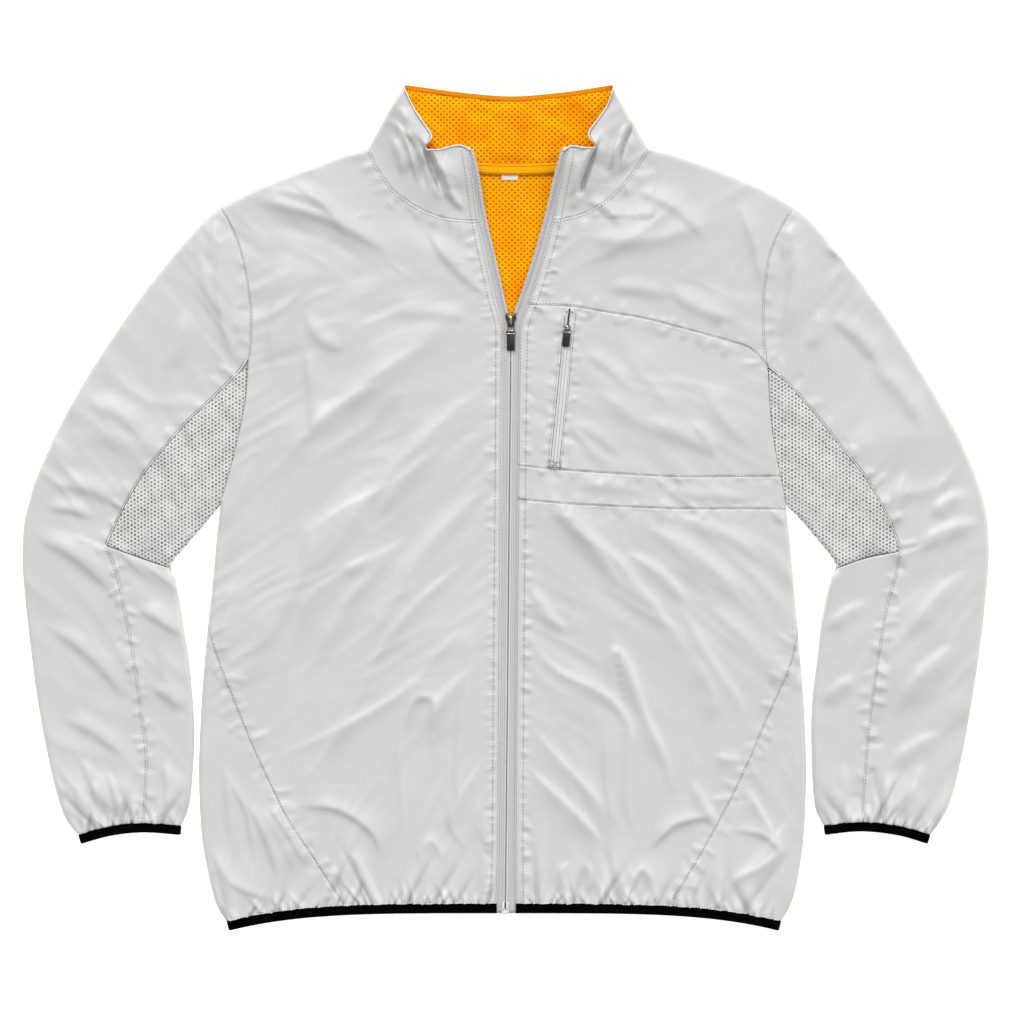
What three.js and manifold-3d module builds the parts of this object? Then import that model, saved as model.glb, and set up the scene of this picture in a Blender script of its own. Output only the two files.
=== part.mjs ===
// Windbreaker jacket laid flat, face up. Millimetres, +X to the viewer's right, +Y to the collar, +Z up.
// The wearer's right half is at -X. The cloth panels are thin walls cut from one curved surface.
import * as THREE from "three";
import Module from "manifold-3d";

const wasm = await Module();
wasm.setup();

// Driving dimensions.
const WALL = 1.6; // shell with its mesh backing
const SEAM = 0.3; // gap between neighbouring pieces
const LAYERS = 7; // height of the two body layers and the air between them
const BOUND = 5.6; // the same at the bound hem and cuffs
const ROLL = 5; // how far in from a folded side the cloth rounds over
const MIDDLE = LAYERS / 2;
const LINING = 1.2;
const LINING_BASE = WALL + SEAM;
const TAPE = 1.0;
const TAPE_DROP = 1.2; // the zip's tape lies this far below the shell beside it
const BINDING_WIDE = 9.6;
const BINDING_THICK = 2.1;
const BIND_GAP = 0.45;
const CUFF_WIDE = 9.2;
const COLLAR_RISE = 8;
const FRAME_SHIFT = { x: 1.25, y: 0.75 }; // brings the middle of the outline's box to the origin

const SHELL = { color: 0xd9d9d9, roughness: 0.45, metalness: 0 };
const MESH_GREY = { color: 0xcfd0cd, roughness: 0.8, metalness: 0 };
const ORANGE = { color: 0xff9d0a, roughness: 0.75, metalness: 0 };
const BLACK_KNIT = { color: 0x101114, roughness: 0.85, metalness: 0 };
const TAPE_GREY = { color: 0xc9cacb, roughness: 0.7, metalness: 0 };
const GUNMETAL = { color: 0x4a4744, roughness: 0.3, metalness: 0.9 };
const RUBBER = { color: 0x17191b, roughness: 0.55, metalness: 0 };
const WHITE_PLASTIC = { color: 0xe8e6df, roughness: 0.4, metalness: 0 };

// Turns rows of numbers into objects with named columns.
function table(names, values) {
  const keys = names.split(" ");
  return values.map((row) => Object.fromEntries(keys.map((key, i) => [key, row[i]])));
}

// Sections of the outline. Each row has its height and the x of the wearer's right and left.
const SLEEVE_OUTER = table("y right left", [
  [285, -272.5, 273],
  [272.5, -288, 288],
  [253.5, -305, 305],
  [215.5, -336.5, 335.5],
  [177.5, -364, 363],
  [139.5, -389.5, 387.5],
  [101.5, -412.5, 410.5],
  [63.5, -432, 431.5],
  [25.5, -448.5, 447.5],
  [6.5, -454, 453],
  [-12.5, -459, 457],
  [-41, -461, 458.5],
  [-69.5, -460, 457],
  [-126.5, -454, 451],
  [-183.5, -446.5, 442.5],
  [-240.5, -436, 432],
  [-278.5, -426.5, 422],
  [-297.5, -419, 413],
  [-311.5, -408, 403],
]);
const SLEEVE_INNER = table("y right left", [
  [2, -272.5, 265],
  [-12.5, -284, 279.5],
  [-31.5, -300, 295.5],
  [-50, -316.5, 310.5],
  [-58, -321, 314],
  [-63, -318, 311],
  [-69.5, -314.5, 307],
  [-107.5, -308, 299],
  [-145.5, -302, 294.5],
  [-183.5, -298.5, 290],
  [-221.5, -297, 289],
  [-278.5, -301, 291.5],
  [-297.5, -307, 298],
  [-302.5, -309.5, 301],
]);
const BODY_SIDE = table("y right left", [
  [-393.5, -267, 261],
  [-378, -276.5, 270],
  [-354.5, -283, 276.5],
  [-316.5, -290, 282],
  [-278.5, -292.5, 284],
  [-240.5, -293, 284.5],
  [-183.5, -290.5, 282],
  [-126.5, -286, 277.5],
  [-69.5, -280, 272.5],
  [-31.5, -276.5, 269],
  [2, -272.5, 265],
]);
const ARMHOLE = table("y right left", [
  [2, -272.5, 265],
  [35, -263, 258.5],
  [63.5, -256, 253],
  [97, -249, 249.5],
  [125, -246.5, 248],
  [141, -245.5, 246.5],
  [164.5, -244, 244.5],
  [186, -244, 244],
  [214, -247.5, 246],
  [241, -253, 251],
  [264, -261.5, 260.5],
  [285, -272.5, 273],
]);
const FRONT_EDGE = table("y right left", [
  [-376.5, -9.5, 8],
  [-324, -7.5, 7.5],
  [-183.5, -6.5, 8],
  [44.5, -4.5, 10],
  [154, -4, 11.5],
  [176, -5, 13.5],
  [199, -11.5, 22],
  [233.5, -19, 33],
  [272, -27, 43],
  [302.5, -31, 49],
  [339, -36.5, 56.5],
]);
const ZIP_MEETING = table("y right left", [
  [-386.5, -1.6, -1.6],
  [-200, 0.2, 0.2],
  [0, 2.1, 2.1],
  [100, 3.1, 3.1],
  [150, 3.6, 3.6],
  [168, 3.8, 3.8],
  [178, 3.6, 4.2],
  [186, 0.5, 7.5],
  [203, -3.5, 13.5],
  [237, -11, 25],
  [276, -20, 36],
  [315, -26.5, 45],
  [338, -32, 51.5],
]);
const SHOULDER = table("y right left", [
  [285, -272.5, 273],
  [301, -243, 245],
  [310.5, -220.5, 224],
  [320, -196.5, 201.5],
  [329.5, -170, 175],
  [335.5, -154, 157],
  [341, -132, 134.5],
]);

// Seams drawn on the garment, with a point for each side in a row.
const NECK_SEAM = table("rightX rightY leftX leftY", [
  [-132, 341, 134.5, 341],
  [-123, 322, 120.5, 320],
  [-109, 302, 106.5, 302.5],
  [-92, 289, 92, 289.5],
  [-76, 280, 73.5, 279],
  [-59.5, 274.5, 57.5, 274.5],
  [-44.5, 272.5, 50, 273],
  [-27, 272, 43, 272],
]);
const MESH_SEAM = table("rightX rightY leftX leftY", [
  [-245.5, 141, 247.4, 133],
  [-254, 128, 267, 116],
  [-278.5, 103.5, 286, 95],
  [-307.5, 75.5, 303.5, 73.5],
  [-326, 53.5, 322, 49.5],
  [-347.5, 26.5, 341, 25.5],
  [-365.5, -5.5, 361.5, -12.5],
  [-380, -37, 372.5, -42],
]);
const UNDERSLEEVE_SEAM = table("rightX rightY leftX leftY", [
  [-380, -37, 372.5, -42],
  [-369, -65, 368.5, -63.5],
  [-360.5, -104.5, 359, -99],
  [-351.5, -157, 350, -152.5],
  [-347, -194, 343.5, -203.5],
  [-342, -232, 340, -242],
  [-342.5, -264, 338, -270],
  [-344.5, -300, 337, -299],
]);
const ELBOW_CREASE = table("rightX rightY leftX leftY", [
  [-459, -14, 455, 2],
  [-410.5, -24.5, 402, -30],
  [-380, -37, 372.5, -42],
  [-348.5, -48.5, 342, -48.5],
  [-321, -58, 314, -58],
]);
const SIDE_SEAM = table("rightX rightY leftX leftY", [
  [-155, -378.37, 153.5, -378.6],
  [-181.5, -338, 170, -354],
  [-205, -302, 196.5, -309],
  [-219, -276.5, 224, -255.5],
  [-241.5, -229, 250, -195.5],
  [-261, -181.5, 270, -150],
  [-276, -142, 275.2, -126.5],
  [-284.2, -112, 276, -108],
]);
const CUFF_TOP = table("rightX rightY leftX leftY", [
  [-408, -311.5, 403, -311.5],
  [-379, -303.5, 373.5, -303],
  [-346, -300, 336.5, -299],
  [-309.5, -302.5, 301, -302.5],
]);
const COLLAR_SIDE = table("rightX rightY leftX leftY", [
  [-132, 341, 134.5, 341],
  [-128, 348.5, 130, 348.5],
  [-118, 367.5, 119.5, 367.5],
  [-107.5, 386.5, 109, 386.5],
  [-97, 401.5, 100.5, 401.5],
]);
const COLLAR_TOP = table("rightX rightY leftX leftY", [
  [-97, 401.5, 100.5, 401.5],
  [-97, 396, 101, 396],
  [-87.5, 376, 94.5, 379],
  [-76.5, 360, 85, 365.5],
  [-71.5, 352, 78, 355.5],
  [-73, 347, 78.5, 349],
  [-78, 341, 84, 342.5],
  [-74, 337.5, 80, 339],
  [-66, 337.5, 68, 341],
  [-54, 341, 62, 341.7],
  [-44, 342.5, 59, 341.5],
  [-36.5, 339, 56.5, 339],
]);

// Seams that only the wearer's left front has.
const YOKE_SEAM = table("x y", [
  [21, 192],
  [59.5, 190.5],
  [90, 185.5],
  [129, 179],
  [168, 169],
  [206.5, 158.5],
  [232, 149.5],
  [247.4, 133],
]);
const BAND_UPPER = table("x y", [
  [10, 39],
  [51.5, 35],
  [109, 31],
  [158, 28.5],
  [206.5, 28.5],
  [260, 29],
]);
const BAND_LOWER = table("x y", [
  [10, 7],
  [61, 2.5],
  [119.5, -0.5],
  [168, -2],
  [216.5, -2],
  [265.5, -2.5],
]);
const COLLAR_BACK_TOP = table("x y", [
  [-97, 401.5],
  [-68.5, 397.5],
  [-37, 393.5],
  [5, 390.5],
  [50.5, 394],
  [79, 398],
  [100.5, 401.5],
]);
const BACK_NECK = table("x y", [
  [-132, 341],
  [-70, 327],
  [-30, 322],
  [8, 320.5],
  [45, 322],
  [80, 327],
  [134.5, 341],
]);

// The largest folds: a soft ridge, or a trough where the height is negative, from one end to the other.
// bow bends the line sideways, wide is its half width and lean sharpens one flank.
const FOLDS = table("x0 y0 x1 y1 bow wide high lean", [
  [-251, 292, -102, 233, 12, 10, 4.5, 0.3],
  [-233, 271, -128, 227, 8, 9, -2.0, 0],
  [-199, 253, -216, 113, -14, 12, 3.5, 0.3],
  [-64, 163, -239, 14, -10, 15, 4.5, 0.3],
  [-14, 121, -197, -88, -14, 17, 5.0, 0.35],
  [-35, 197, -168, 102, 8, 14, 3.0, 0],
  [-16, 35, -154, -174, -10, 15, 4.5, 0.3],
  [-14, -79, -116, -240, -8, 13, 4.0, 0.3],
  [-121, 35, -265, -202, -16, 18, 4.5, 0.2],
  [-75, -181, -99, -343, 8, 10, 4.5, 0.3],
  [-49, -202, -59, -335, -5, 9, 4.0, 0.2],
  [-194, -284, -122, -318, 12, 10, 3.5, 0.3],
  [-239, -278, -197, -354, 4, 10, 3.5, 0.2],
  [24, 28, 183, -155, 8, 13, 5.0, -0.35],
  [124, -16, 234, -109, 14, 13, 4.5, -0.3],
  [22, -115, 100, -178, -6, 11, 4.5, -0.3],
  [104, -136, 143, -269, 6, 11, 4.5, -0.3],
  [183, -88, 269, -183, 8, 13, 3.5, -0.2],
  [98, -221, 100, -335, 0, 9, 4.0, 0.2],
  [50, -221, 88, -326, -6, 10, 4.0, 0.2],
  [221, -269, 145, -326, 6, 11, 3.5, 0.2],
  [74, 121, 183, 54, -6, 14, 3.5, 0.2],
  [107, 159, 174, 83, -6, 13, 2.5, 0.2],
  [183, 121, 236, 54, -5, 11, 2.5, 0.2],
  [65, 258, 202, 277, -14, 13, 4.0, 0.2],
  [55, 225, 183, 311, -10, 13, 3.0, 0.2],
  [217, 292, 243, 197, 6, 9, 3.5, 0.2],
  [-268, 268, -254, 130, -12, 9, 4.5, 0.3],
  [-425, 64, -301, 35, 14, 20, 3.0, 0],
  [-425, -60, -339, -212, 14, 18, 3.0, 0.2],
  [-330, -80, -312, -200, -6, 12, 2.5, 0.2],
  [-400, -259, -372, -296, 4, 9, 2.5, 0.2],
  [268, 268, 254, 152, 10, 9, 4.5, 0.3],
  [425, 64, 301, 35, -14, 20, 3.0, 0],
  [420, -60, 350, -212, -14, 18, 3.0, 0.2],
  [322, -90, 300, -200, 6, 12, 2.5, 0.2],
  [395, -259, 365, -296, -4, 9, 2.5, 0.2],
  [-79, 341, -62, 294, 0, 6, -5.0, 0.3],
  [-90, 358, -68, 287, 9, 9, 4.0, 0.3],
  [-57, 338, -48, 290, -4, 7, 2.5, 0.2],
  [84, 342, 66, 294, 0, 6, -5.0, 0.3],
  [95, 360, 78, 290, -9, 9, 4.0, 0.3],
  [62, 338, 58, 290, 4, 6, 2.5, 0.2],
]);

// A curve through the points of a table, kept as short straight steps with their lengths.
// Its knots are the shares of its length where every panel that meets it has a point.
class Line {
  constructor(points, knots) {
    this.points = points;
    this.lengths = [0];
    points.slice(1).forEach((p, i) => this.lengths.push(this.lengths[i] + p.distanceTo(points[i])));
    this.length = this.lengths.at(-1);
    this.knots = knots ?? [0, 1];
  }
  // The point at a share of the whole length.
  at(share) {
    const wanted = THREE.MathUtils.clamp(share, 0, 1) * this.length;
    const i = Math.max(1, this.lengths.findIndex((l) => l >= wanted - 1e-9));
    const step = this.lengths[i] - this.lengths[i - 1];
    return this.points[i - 1].clone().lerp(this.points[i], step ? (wanted - this.lengths[i - 1]) / step : 0);
  }
  // The nearest point, with its distance, its share of the length and the direction of travel there.
  nearest(x, y) {
    let best = { distance: Infinity };
    for (let i = 1; i < this.points.length; i++) {
      const a = this.points[i - 1];
      const b = this.points[i];
      const dx = b.x - a.x;
      const dy = b.y - a.y;
      const long = Math.hypot(dx, dy);
      if (!long) continue;
      const t = THREE.MathUtils.clamp(((x - a.x) * dx + (y - a.y) * dy) / long ** 2, 0, 1);
      const distance = Math.hypot(x - a.x - t * dx, y - a.y - t * dy);
      if (distance < best.distance - 1e-9) {
        const along = this.lengths[i - 1] + t * long;
        best = { distance, share: along / this.length, dx: dx / long, dy: dy / long };
        best.side = Math.sign(dx * (y - a.y) - dy * (x - a.x));
      }
    }
    return best;
  }
  reversed() {
    return new Line([...this.points].reverse(), this.knots.map((k) => 1 - k).reverse());
  }
  // Sets the knots about a spacing apart, with one at each of the given distances from the start
  // (from the end where negative) and at the points where other seams meet this one.
  knotted(spacing, distances = [], meetings = []) {
    const fixed = distances.map((d) => (d < 0 ? 1 : 0) + d / this.length);
    const met = meetings.map((p) => this.nearest(p.x, p.y).share);
    const stops = [0, ...fixed, ...met, 1].sort((a, b) => a - b);
    const clear = stops.filter((k, i) => !i || (k - stops[i - 1]) * this.length > 0.5);
    this.knots = [0];
    for (let i = 1; i < clear.length; i++) {
      const steps = Math.max(1, Math.round(((clear[i] - clear[i - 1]) * this.length) / spacing));
      for (let k = 1; k <= steps; k++) this.knots.push(clear[i - 1] + ((clear[i] - clear[i - 1]) * k) / steps);
    }
    return this;
  }
}

const STEPS = 6; // straight steps for each stretch between two points of a table

function smooth(points) {
  return new Line(new THREE.SplineCurve(points).getPoints((points.length - 1) * STEPS));
}

function bySide(rows, side) {
  return smooth(rows.map((row) => new THREE.Vector2(row[side], row.y)));
}

function byPoint(rows, side) {
  return smooth(rows.map((row) => new THREE.Vector2(row[side + "X"], row[side + "Y"])));
}

function plain(rows) {
  return smooth(rows.map((row) => new THREE.Vector2(row.x, row.y)));
}

function join(...lines) {
  const total = lines.reduce((sum, line) => sum + line.length, 0);
  const knots = [0];
  let start = 0;
  for (const line of lines) {
    knots.push(...line.knots.slice(1).map((k) => (start + k * line.length) / total));
    start += line.length;
  }
  return new Line(
    lines.flatMap((line, i) => (i ? line.points.slice(1) : line.points)),
    knots,
  );
}

// The stretch of a line between two shares of its length, with the knots in it.
function stretch(line, from, to) {
  if (from > to) return stretch(line, to, from).reversed();
  const inside = (share) => share > from + 1e-5 && share < to - 1e-5;
  const points = line.points.filter((_, i) => inside(line.lengths[i] / line.length));
  const knots = line.knots.filter(inside).map((k) => (k - from) / (to - from));
  return new Line([line.at(from), ...points, line.at(to)], [0, ...knots, 1]);
}

// The stretch from the point nearest to a to the point nearest to b.
function between(line, a, b) {
  return stretch(line, line.nearest(a.x, a.y).share, line.nearest(b.x, b.y).share);
}

// A line whose first and last points are moved onto the lines they meet.
function tied(line, first, last) {
  const points = [...line.points];
  const onto = (other, p) => other.at(other.nearest(p.x, p.y).share);
  if (first) points[0] = onto(first, points[0]);
  if (last) points[points.length - 1] = onto(last, points.at(-1));
  return new Line(points);
}

const SIDES = ["right", "left"];
const lines = {};
for (const side of SIDES) {
  const at = {
    outer: bySide(SLEEVE_OUTER, side),
    inner: bySide(SLEEVE_INNER, side),
    flank: bySide(BODY_SIDE, side),
    armhole: bySide(ARMHOLE, side),
    front: bySide(FRONT_EDGE, side),
    meeting: bySide(ZIP_MEETING, side),
    shoulder: bySide(SHOULDER, side),
    neck: byPoint(NECK_SEAM, side),
    mesh: byPoint(MESH_SEAM, side),
    under: byPoint(UNDERSLEEVE_SEAM, side),
    crease: byPoint(ELBOW_CREASE, side),
    flankSeam: byPoint(SIDE_SEAM, side),
    cuff: byPoint(CUFF_TOP, side),
    collarSide: byPoint(COLLAR_SIDE, side),
    collarTop: byPoint(COLLAR_TOP, side),
  };
  at.mesh = tied(at.mesh, at.armhole, null);
  at.under = tied(at.under, null, at.cuff);
  at.crease = tied(at.crease, at.outer, at.inner);
  at.flankSeam = tied(at.flankSeam, null, at.flank);
  at.neck = tied(at.neck, null, at.front);
  lines[side] = at;
}

const yokeSeam = tied(plain(YOKE_SEAM), lines.left.front, lines.left.armhole).knotted(15);
const bandUpper = tied(plain(BAND_UPPER), lines.left.front, lines.left.armhole).knotted(15);
const bandLower = tied(plain(BAND_LOWER), lines.left.front, lines.left.flank).knotted(15);
const PITCH = 20; // how far apart the rows of points are over the body
const FOLD_STEPS = [0.26 * ROLL, ROLL];
const GATHER_STEPS = [7, 16, 28, 44];
const backNeck = plain(BACK_NECK).knotted(17, [...FOLD_STEPS, ...FOLD_STEPS.map((d) => -d)]);
for (const side of SIDES) {
  const at = lines[side];
  const crossings = side === "left" ? [bandUpper.at(1)] : [];
  at.cuff.knotted(8, [], [at.under.at(1)]);
  at.flankSeam.knotted(PITCH, [...GATHER_STEPS, -12]);
  at.flank.knotted(PITCH, GATHER_STEPS, side === "left" ? [bandLower.at(1)] : []);
  at.armhole.knotted(PITCH, [ROLL, ...FOLD_STEPS.map((d) => -d)], [at.mesh.at(0), ...crossings]);
  at.front.knotted(PITCH);
  at.shoulder.knotted(PITCH);
  at.neck.knotted(13, [ROLL]);
  at.mesh.knotted(22);
  at.under.knotted(22, [-7, -16, -30, -48]);
  at.crease.knotted(10, [-ROLL], [at.mesh.at(1)]);
  at.outer.knotted(20);
  at.inner.knotted(20);
  at.collarSide.knotted(14);
}

// The hem runs nearly level and drops towards the sides.
const HEM = { level: -376.5, drop: 17, middle: -3, half: 264 };
const hemHeight = (x) => HEM.level - HEM.drop * Math.abs((x - HEM.middle) / HEM.half) ** 4;

function hemLine(fromX, toX) {
  const steps = Math.ceil(Math.abs(toX - fromX) / 6);
  const x = (i) => fromX + ((toX - fromX) * i) / steps;
  const points = Array.from({ length: steps + 1 }, (_, i) => new THREE.Vector2(x(i), hemHeight(x(i))));
  return new Line(points).knotted(9);
}

// Folded edges, where the upper layer turns over into the lower one.
const FOLDED = SIDES.flatMap((side) => [
  { line: lines[side].shoulder, inside: new THREE.Vector2(0, 0) },
  { line: lines[side].outer, inside: lines[side].mesh.at(0.6) },
  { line: lines[side].inner, inside: lines[side].under.at(0.3) },
  { line: lines[side].flank, inside: new THREE.Vector2(0, -200) },
  { line: lines[side].collarSide, inside: new THREE.Vector2(0, 340) },
]);
for (const edge of FOLDED) {
  const near = edge.line.nearest(edge.inside.x, edge.inside.y);
  edge.turn = near.side;
}

// Distance in from the nearest folded edge, and the unit vector pointing in from it.
function fromFold(x, y) {
  let best = { distance: Infinity };
  for (const { line, turn } of FOLDED) {
    const near = line.nearest(x, y);
    if (near.distance < best.distance) {
      best = { distance: near.distance, x: -near.dy * turn, y: near.dx * turn };
    }
  }
  return best;
}

const ease = (t) => THREE.MathUtils.smoothstep(t, 0, 1);

for (const fold of FOLDS) {
  const a = new THREE.Vector2(fold.x0, fold.y0);
  const b = new THREE.Vector2(fold.x1, fold.y1);
  const across = new THREE.Vector2(a.y - b.y, b.x - a.x).normalize();
  const middle = a.clone().lerp(b, 0.5).addScaledVector(across, 2 * fold.bow);
  fold.line = new Line(new THREE.QuadraticBezierCurve(a, middle, b).getPoints(8));
}

function foldHeight(fold, x, y) {
  const near = fold.line.nearest(x, y);
  if (near.share <= 0 || near.share >= 1 || near.distance > 3 * fold.wide) return 0;
  const wide = fold.wide * (1 + near.side * fold.lean);
  return fold.high * Math.sqrt(Math.sin(Math.PI * near.share)) * Math.exp(-((near.distance / wide) ** 2));
}

// Gathers stand up where elastic draws the cloth in at the hem and the cuffs.
const GATHER = { high: 2.2, reach: 24, hemPitch: 19, cuffPitch: 13 };

function gatherWave(along, pitch) {
  return Math.cos((2 * Math.PI * along) / pitch + 1.1 * Math.sin(along / (0.9 * pitch)));
}

// Height of the upper layer's face over the floor, before it rounds over at a fold.
function clothHeight(x, y) {
  const side = x < 0 ? "right" : "left";
  const onSleeve = Math.abs(x) > 296 || (y < 0 && Math.abs(x) > 293);
  let height = LAYERS;
  let flat = 1;
  if (onSleeve) {
    const cuff = lines[side].cuff.nearest(x, y);
    height -= (LAYERS - BOUND) * (1 - ease(cuff.distance / 30));
    const wave = gatherWave(cuff.share * lines[side].cuff.length, GATHER.cuffPitch);
    height += GATHER.high * (0.5 + 0.5 * wave) * Math.exp(-cuff.distance / GATHER.reach);
  } else {
    const above = y - hemHeight(x);
    height -= (LAYERS - BOUND) * (1 - ease(above / 36));
    const wave = gatherWave(x, GATHER.hemPitch);
    const fromZip = Math.abs(x - 1);
    const risen = (0.5 + 0.5 * wave) * Math.exp(-Math.max(above, 0) / GATHER.reach);
    height += GATHER.high * risen * ease((fromZip - 10) / 12);
    const front = lines[side].front.nearest(x, y);
    flat = ease(front.distance / 22);
    flat *= ease((Math.hypot(x - POCKET_SLIDER.x, y - POCKET_SLIDER.y) - 9) / 16);
    const neck = lines[side].neck.nearest(x, y);
    if (isCollar(x, y)) height += COLLAR_RISE * ease(neck.distance / 60);
  }
  for (const fold of FOLDS) height += flat * foldHeight(fold, x, y);
  return Math.max(height, BOUND);
}

// Above the neck seam of its side.
function isCollar(x, y) {
  if (y < 270) return false;
  const line = x < 4 ? lines.right.neck : lines.left.neck;
  const near = line.nearest(x, y);
  return near.side === (x < 4 ? 1 : -1);
}

const POCKET_SLIDER = { x: 57.5, y: 170 };

// Steps of the cloth over the elbow's tuck: the lower sleeve lies on the upper one.
const TUCK = { lift: 2.6, fade: 22, soft: 7 };

function creaseSide(x, y) {
  const side = x < 0 ? "right" : "left";
  const near = lines[side].crease.nearest(x, y);
  const below = near.side === (side === "right" ? -1 : 1);
  return below ? -near.distance : near.distance;
}

const bodyHeight = (x, y) => clothHeight(x, y);
const outerSleeveHeight = (x, y) => {
  const above = creaseSide(x, y);
  const step = 1 - ease((above + TUCK.soft) / TUCK.soft);
  return clothHeight(x, y) + TUCK.lift * step * Math.exp(Math.min(above, 0) / TUCK.fade);
};
const underSleeveHeight = (x, y) => {
  const below = Math.abs(creaseSide(x, y));
  return clothHeight(x, y) + TUCK.lift * Math.exp(-below / TUCK.fade);
};
const meshHeight = (x, y) => {
  const side = x < 0 ? "right" : "left";
  const hole = lines[side].armhole.nearest(x, y).distance;
  return clothHeight(x, y) - 2 * (1 - ease(hole / 30));
};

const SLOPE_STEP = 0.3;

// The outer and the inner point of a wall of cloth. At a folded edge the wall rounds over;
// elsewhere the inner point is straight below the outer one, so neighbours keep their gap.
function wallAt(x, y, sheet) {
  const thick = sheet.thick ?? WALL;
  if (sheet.level !== undefined) return [new THREE.Vector3(x, y, sheet.level), new THREE.Vector3(x, y, sheet.level - thick)];
  const edge = fromFold(x, y);
  const cos = Math.max(0, 1 - edge.distance / ROLL);
  const sin = Math.sqrt(1 - cos * cos);
  const height = sheet.down ? 0 : sheet.height(x, y);
  const rise = height - MIDDLE;
  const normal = new THREE.Vector2(cos / ROLL, sin / rise).normalize();
  const step = SLOPE_STEP;
  const slope = sheet.down
    ? 0
    : Math.hypot(
        (sheet.height(x + step, y) - sheet.height(x - step, y)) / (2 * step),
        (sheet.height(x, y + step) - sheet.height(x, y - step)) / (2 * step),
      );
  const up = Math.sign(rise);
  const z = MIDDLE + up * Math.max(Math.abs(rise) * sin, SEAM / 2);
  const deep = thick * Math.abs(normal.y) * Math.min(Math.hypot(1, slope), 1.6);
  const inner = MIDDLE + up * Math.max(up * (z - MIDDLE) - deep, SEAM / 2);
  const across = thick * normal.x;
  return [new THREE.Vector3(x, y, z), new THREE.Vector3(x + edge.x * across, y + edge.y * across, inner)];
}

// Shares across a row: closer together by a folded edge at the start, the end or both.
function spread(count, length, startFold, endFold) {
  const fold = [0, 0.26 * ROLL, ROLL];
  const head = startFold ? fold.map((d) => d / length) : [0];
  const tail = endFold ? fold.map((d) => 1 - d / length).reverse() : [1];
  const inner = count - head.length - tail.length + 2;
  const from = head.at(-1);
  const to = tail[0];
  const middle = Array.from({ length: Math.max(inner - 1, 0) }, (_, i) => from + ((to - from) * (i + 1)) / inner);
  return [...head, ...middle, ...tail];
}

// Rows of flat points over a four-sided panel, blended from its four edges. The bottom and the top
// run from left to right, the left and the right from bottom to top. follow names the edges whose
// knots the rows and columns take; other rows have the number of steps that across gives.
function netOf(panel) {
  const { bottom, top, left, right, follow = "" } = panel;
  const spaced = () => spread(panel.steps, (left.length + right.length) / 2, panel.fold?.bottom, panel.fold?.top);
  const first = follow.includes("left") ? left.knots : follow.includes("right") ? right.knots : spaced();
  const last = follow.includes("right") ? right.knots : first;
  return first.map((start, i) => {
    const end = last[i];
    const length = left.at(start).distanceTo(right.at(end));
    const share = i / (first.length - 1);
    const count = typeof panel.across === "function" ? panel.across(start, share) : panel.across;
    let columns = spread(count, Math.max(length, 24), panel.fold?.left, panel.fold?.right);
    if (i === 0 && follow.includes("bottom")) columns = bottom.knots;
    if (share === 1 && follow.includes("top")) columns = top.knots;
    return columns.map((u) => {
      const v = start * (1 - u) + end * u;
      const p = left.at(start).multiplyScalar(1 - u).addScaledVector(right.at(end), u);
      p.addScaledVector(bottom.at(u), 1 - v).addScaledVector(top.at(u), v);
      p.addScaledVector(bottom.at(0), -(1 - u) * (1 - v)).addScaledVector(bottom.at(1), -u * (1 - v));
      p.addScaledVector(top.at(0), -(1 - u) * v).addScaledVector(top.at(1), -u * v);
      return { x: p.x, y: p.y, u };
    });
  });
}

// The points round a net's rim, in order.
function rimOf(net) {
  const right = net.slice(1, -1).map((row) => row.at(-1));
  const left = net.slice(1, -1).map((row) => row[0]);
  return [...net[0], ...right, ...[...net.at(-1)].reverse(), ...left.reverse()];
}

// Draws each seam edge in by half the gap; a folded edge stays where it is.
function drawIn(net, gap) {
  const rim = rimOf(net);
  const area = rim.reduce((sum, p, i) => {
    const q = rim[(i + 1) % rim.length];
    return sum + p.x * q.y - q.x * p.y;
  }, 0);
  const turn = Math.sign(area);
  const far = rim.map((p) => fromFold(p.x, p.y).distance);
  const edges = rim.map((p, i) => {
    const j = (i + 1) % rim.length;
    const q = rim[j];
    const long = Math.hypot(q.x - p.x, q.y - p.y) || 1;
    const folded = far[i] < 0.08 && far[j] < 0.08;
    return { x: (-(q.y - p.y) / long) * turn, y: ((q.x - p.x) / long) * turn, gap: folded ? 0 : gap };
  });
  const moves = rim.map((p, i) => {
    const a = edges[(i + rim.length - 1) % rim.length];
    const b = edges[i];
    const cross = a.x * b.y - a.y * b.x;
    if (Math.abs(cross) < 0.12) {
      const half = (a.gap + b.gap) / 2;
      return { x: ((a.x + b.x) / 2) * half, y: ((a.y + b.y) / 2) * half };
    }
    return { x: (a.gap * b.y - b.gap * a.y) / cross, y: (a.x * b.gap - b.x * a.gap) / cross };
  });
  rim.forEach((p, i) => {
    p.x += moves[i].x;
    p.y += moves[i].y;
  });
  return turn;
}

// Triangles between two rows that may have different counts of points.
function ladder(lower, upper) {
  const faces = [];
  let i = 0;
  let j = 0;
  while (i < lower.length - 1 || j < upper.length - 1) {
    const next = i < lower.length - 1 ? lower[i + 1].u : Infinity;
    const other = j < upper.length - 1 ? upper[j + 1].u : Infinity;
    if (next <= other) {
      faces.push([lower[i].id, lower[i + 1].id, upper[j].id]);
      i += 1;
    } else {
      faces.push([lower[i].id, upper[j + 1].id, upper[j].id]);
      j += 1;
    }
  }
  return faces;
}

function geometryOf(points, faces) {
  const geometry = new THREE.BufferGeometry();
  geometry.setAttribute("position", new THREE.Float32BufferAttribute(points.flatMap((p) => [p.x, p.y, p.z]), 3));
  geometry.setIndex(faces.flat());
  geometry.computeVertexNormals();
  return geometry;
}

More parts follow.
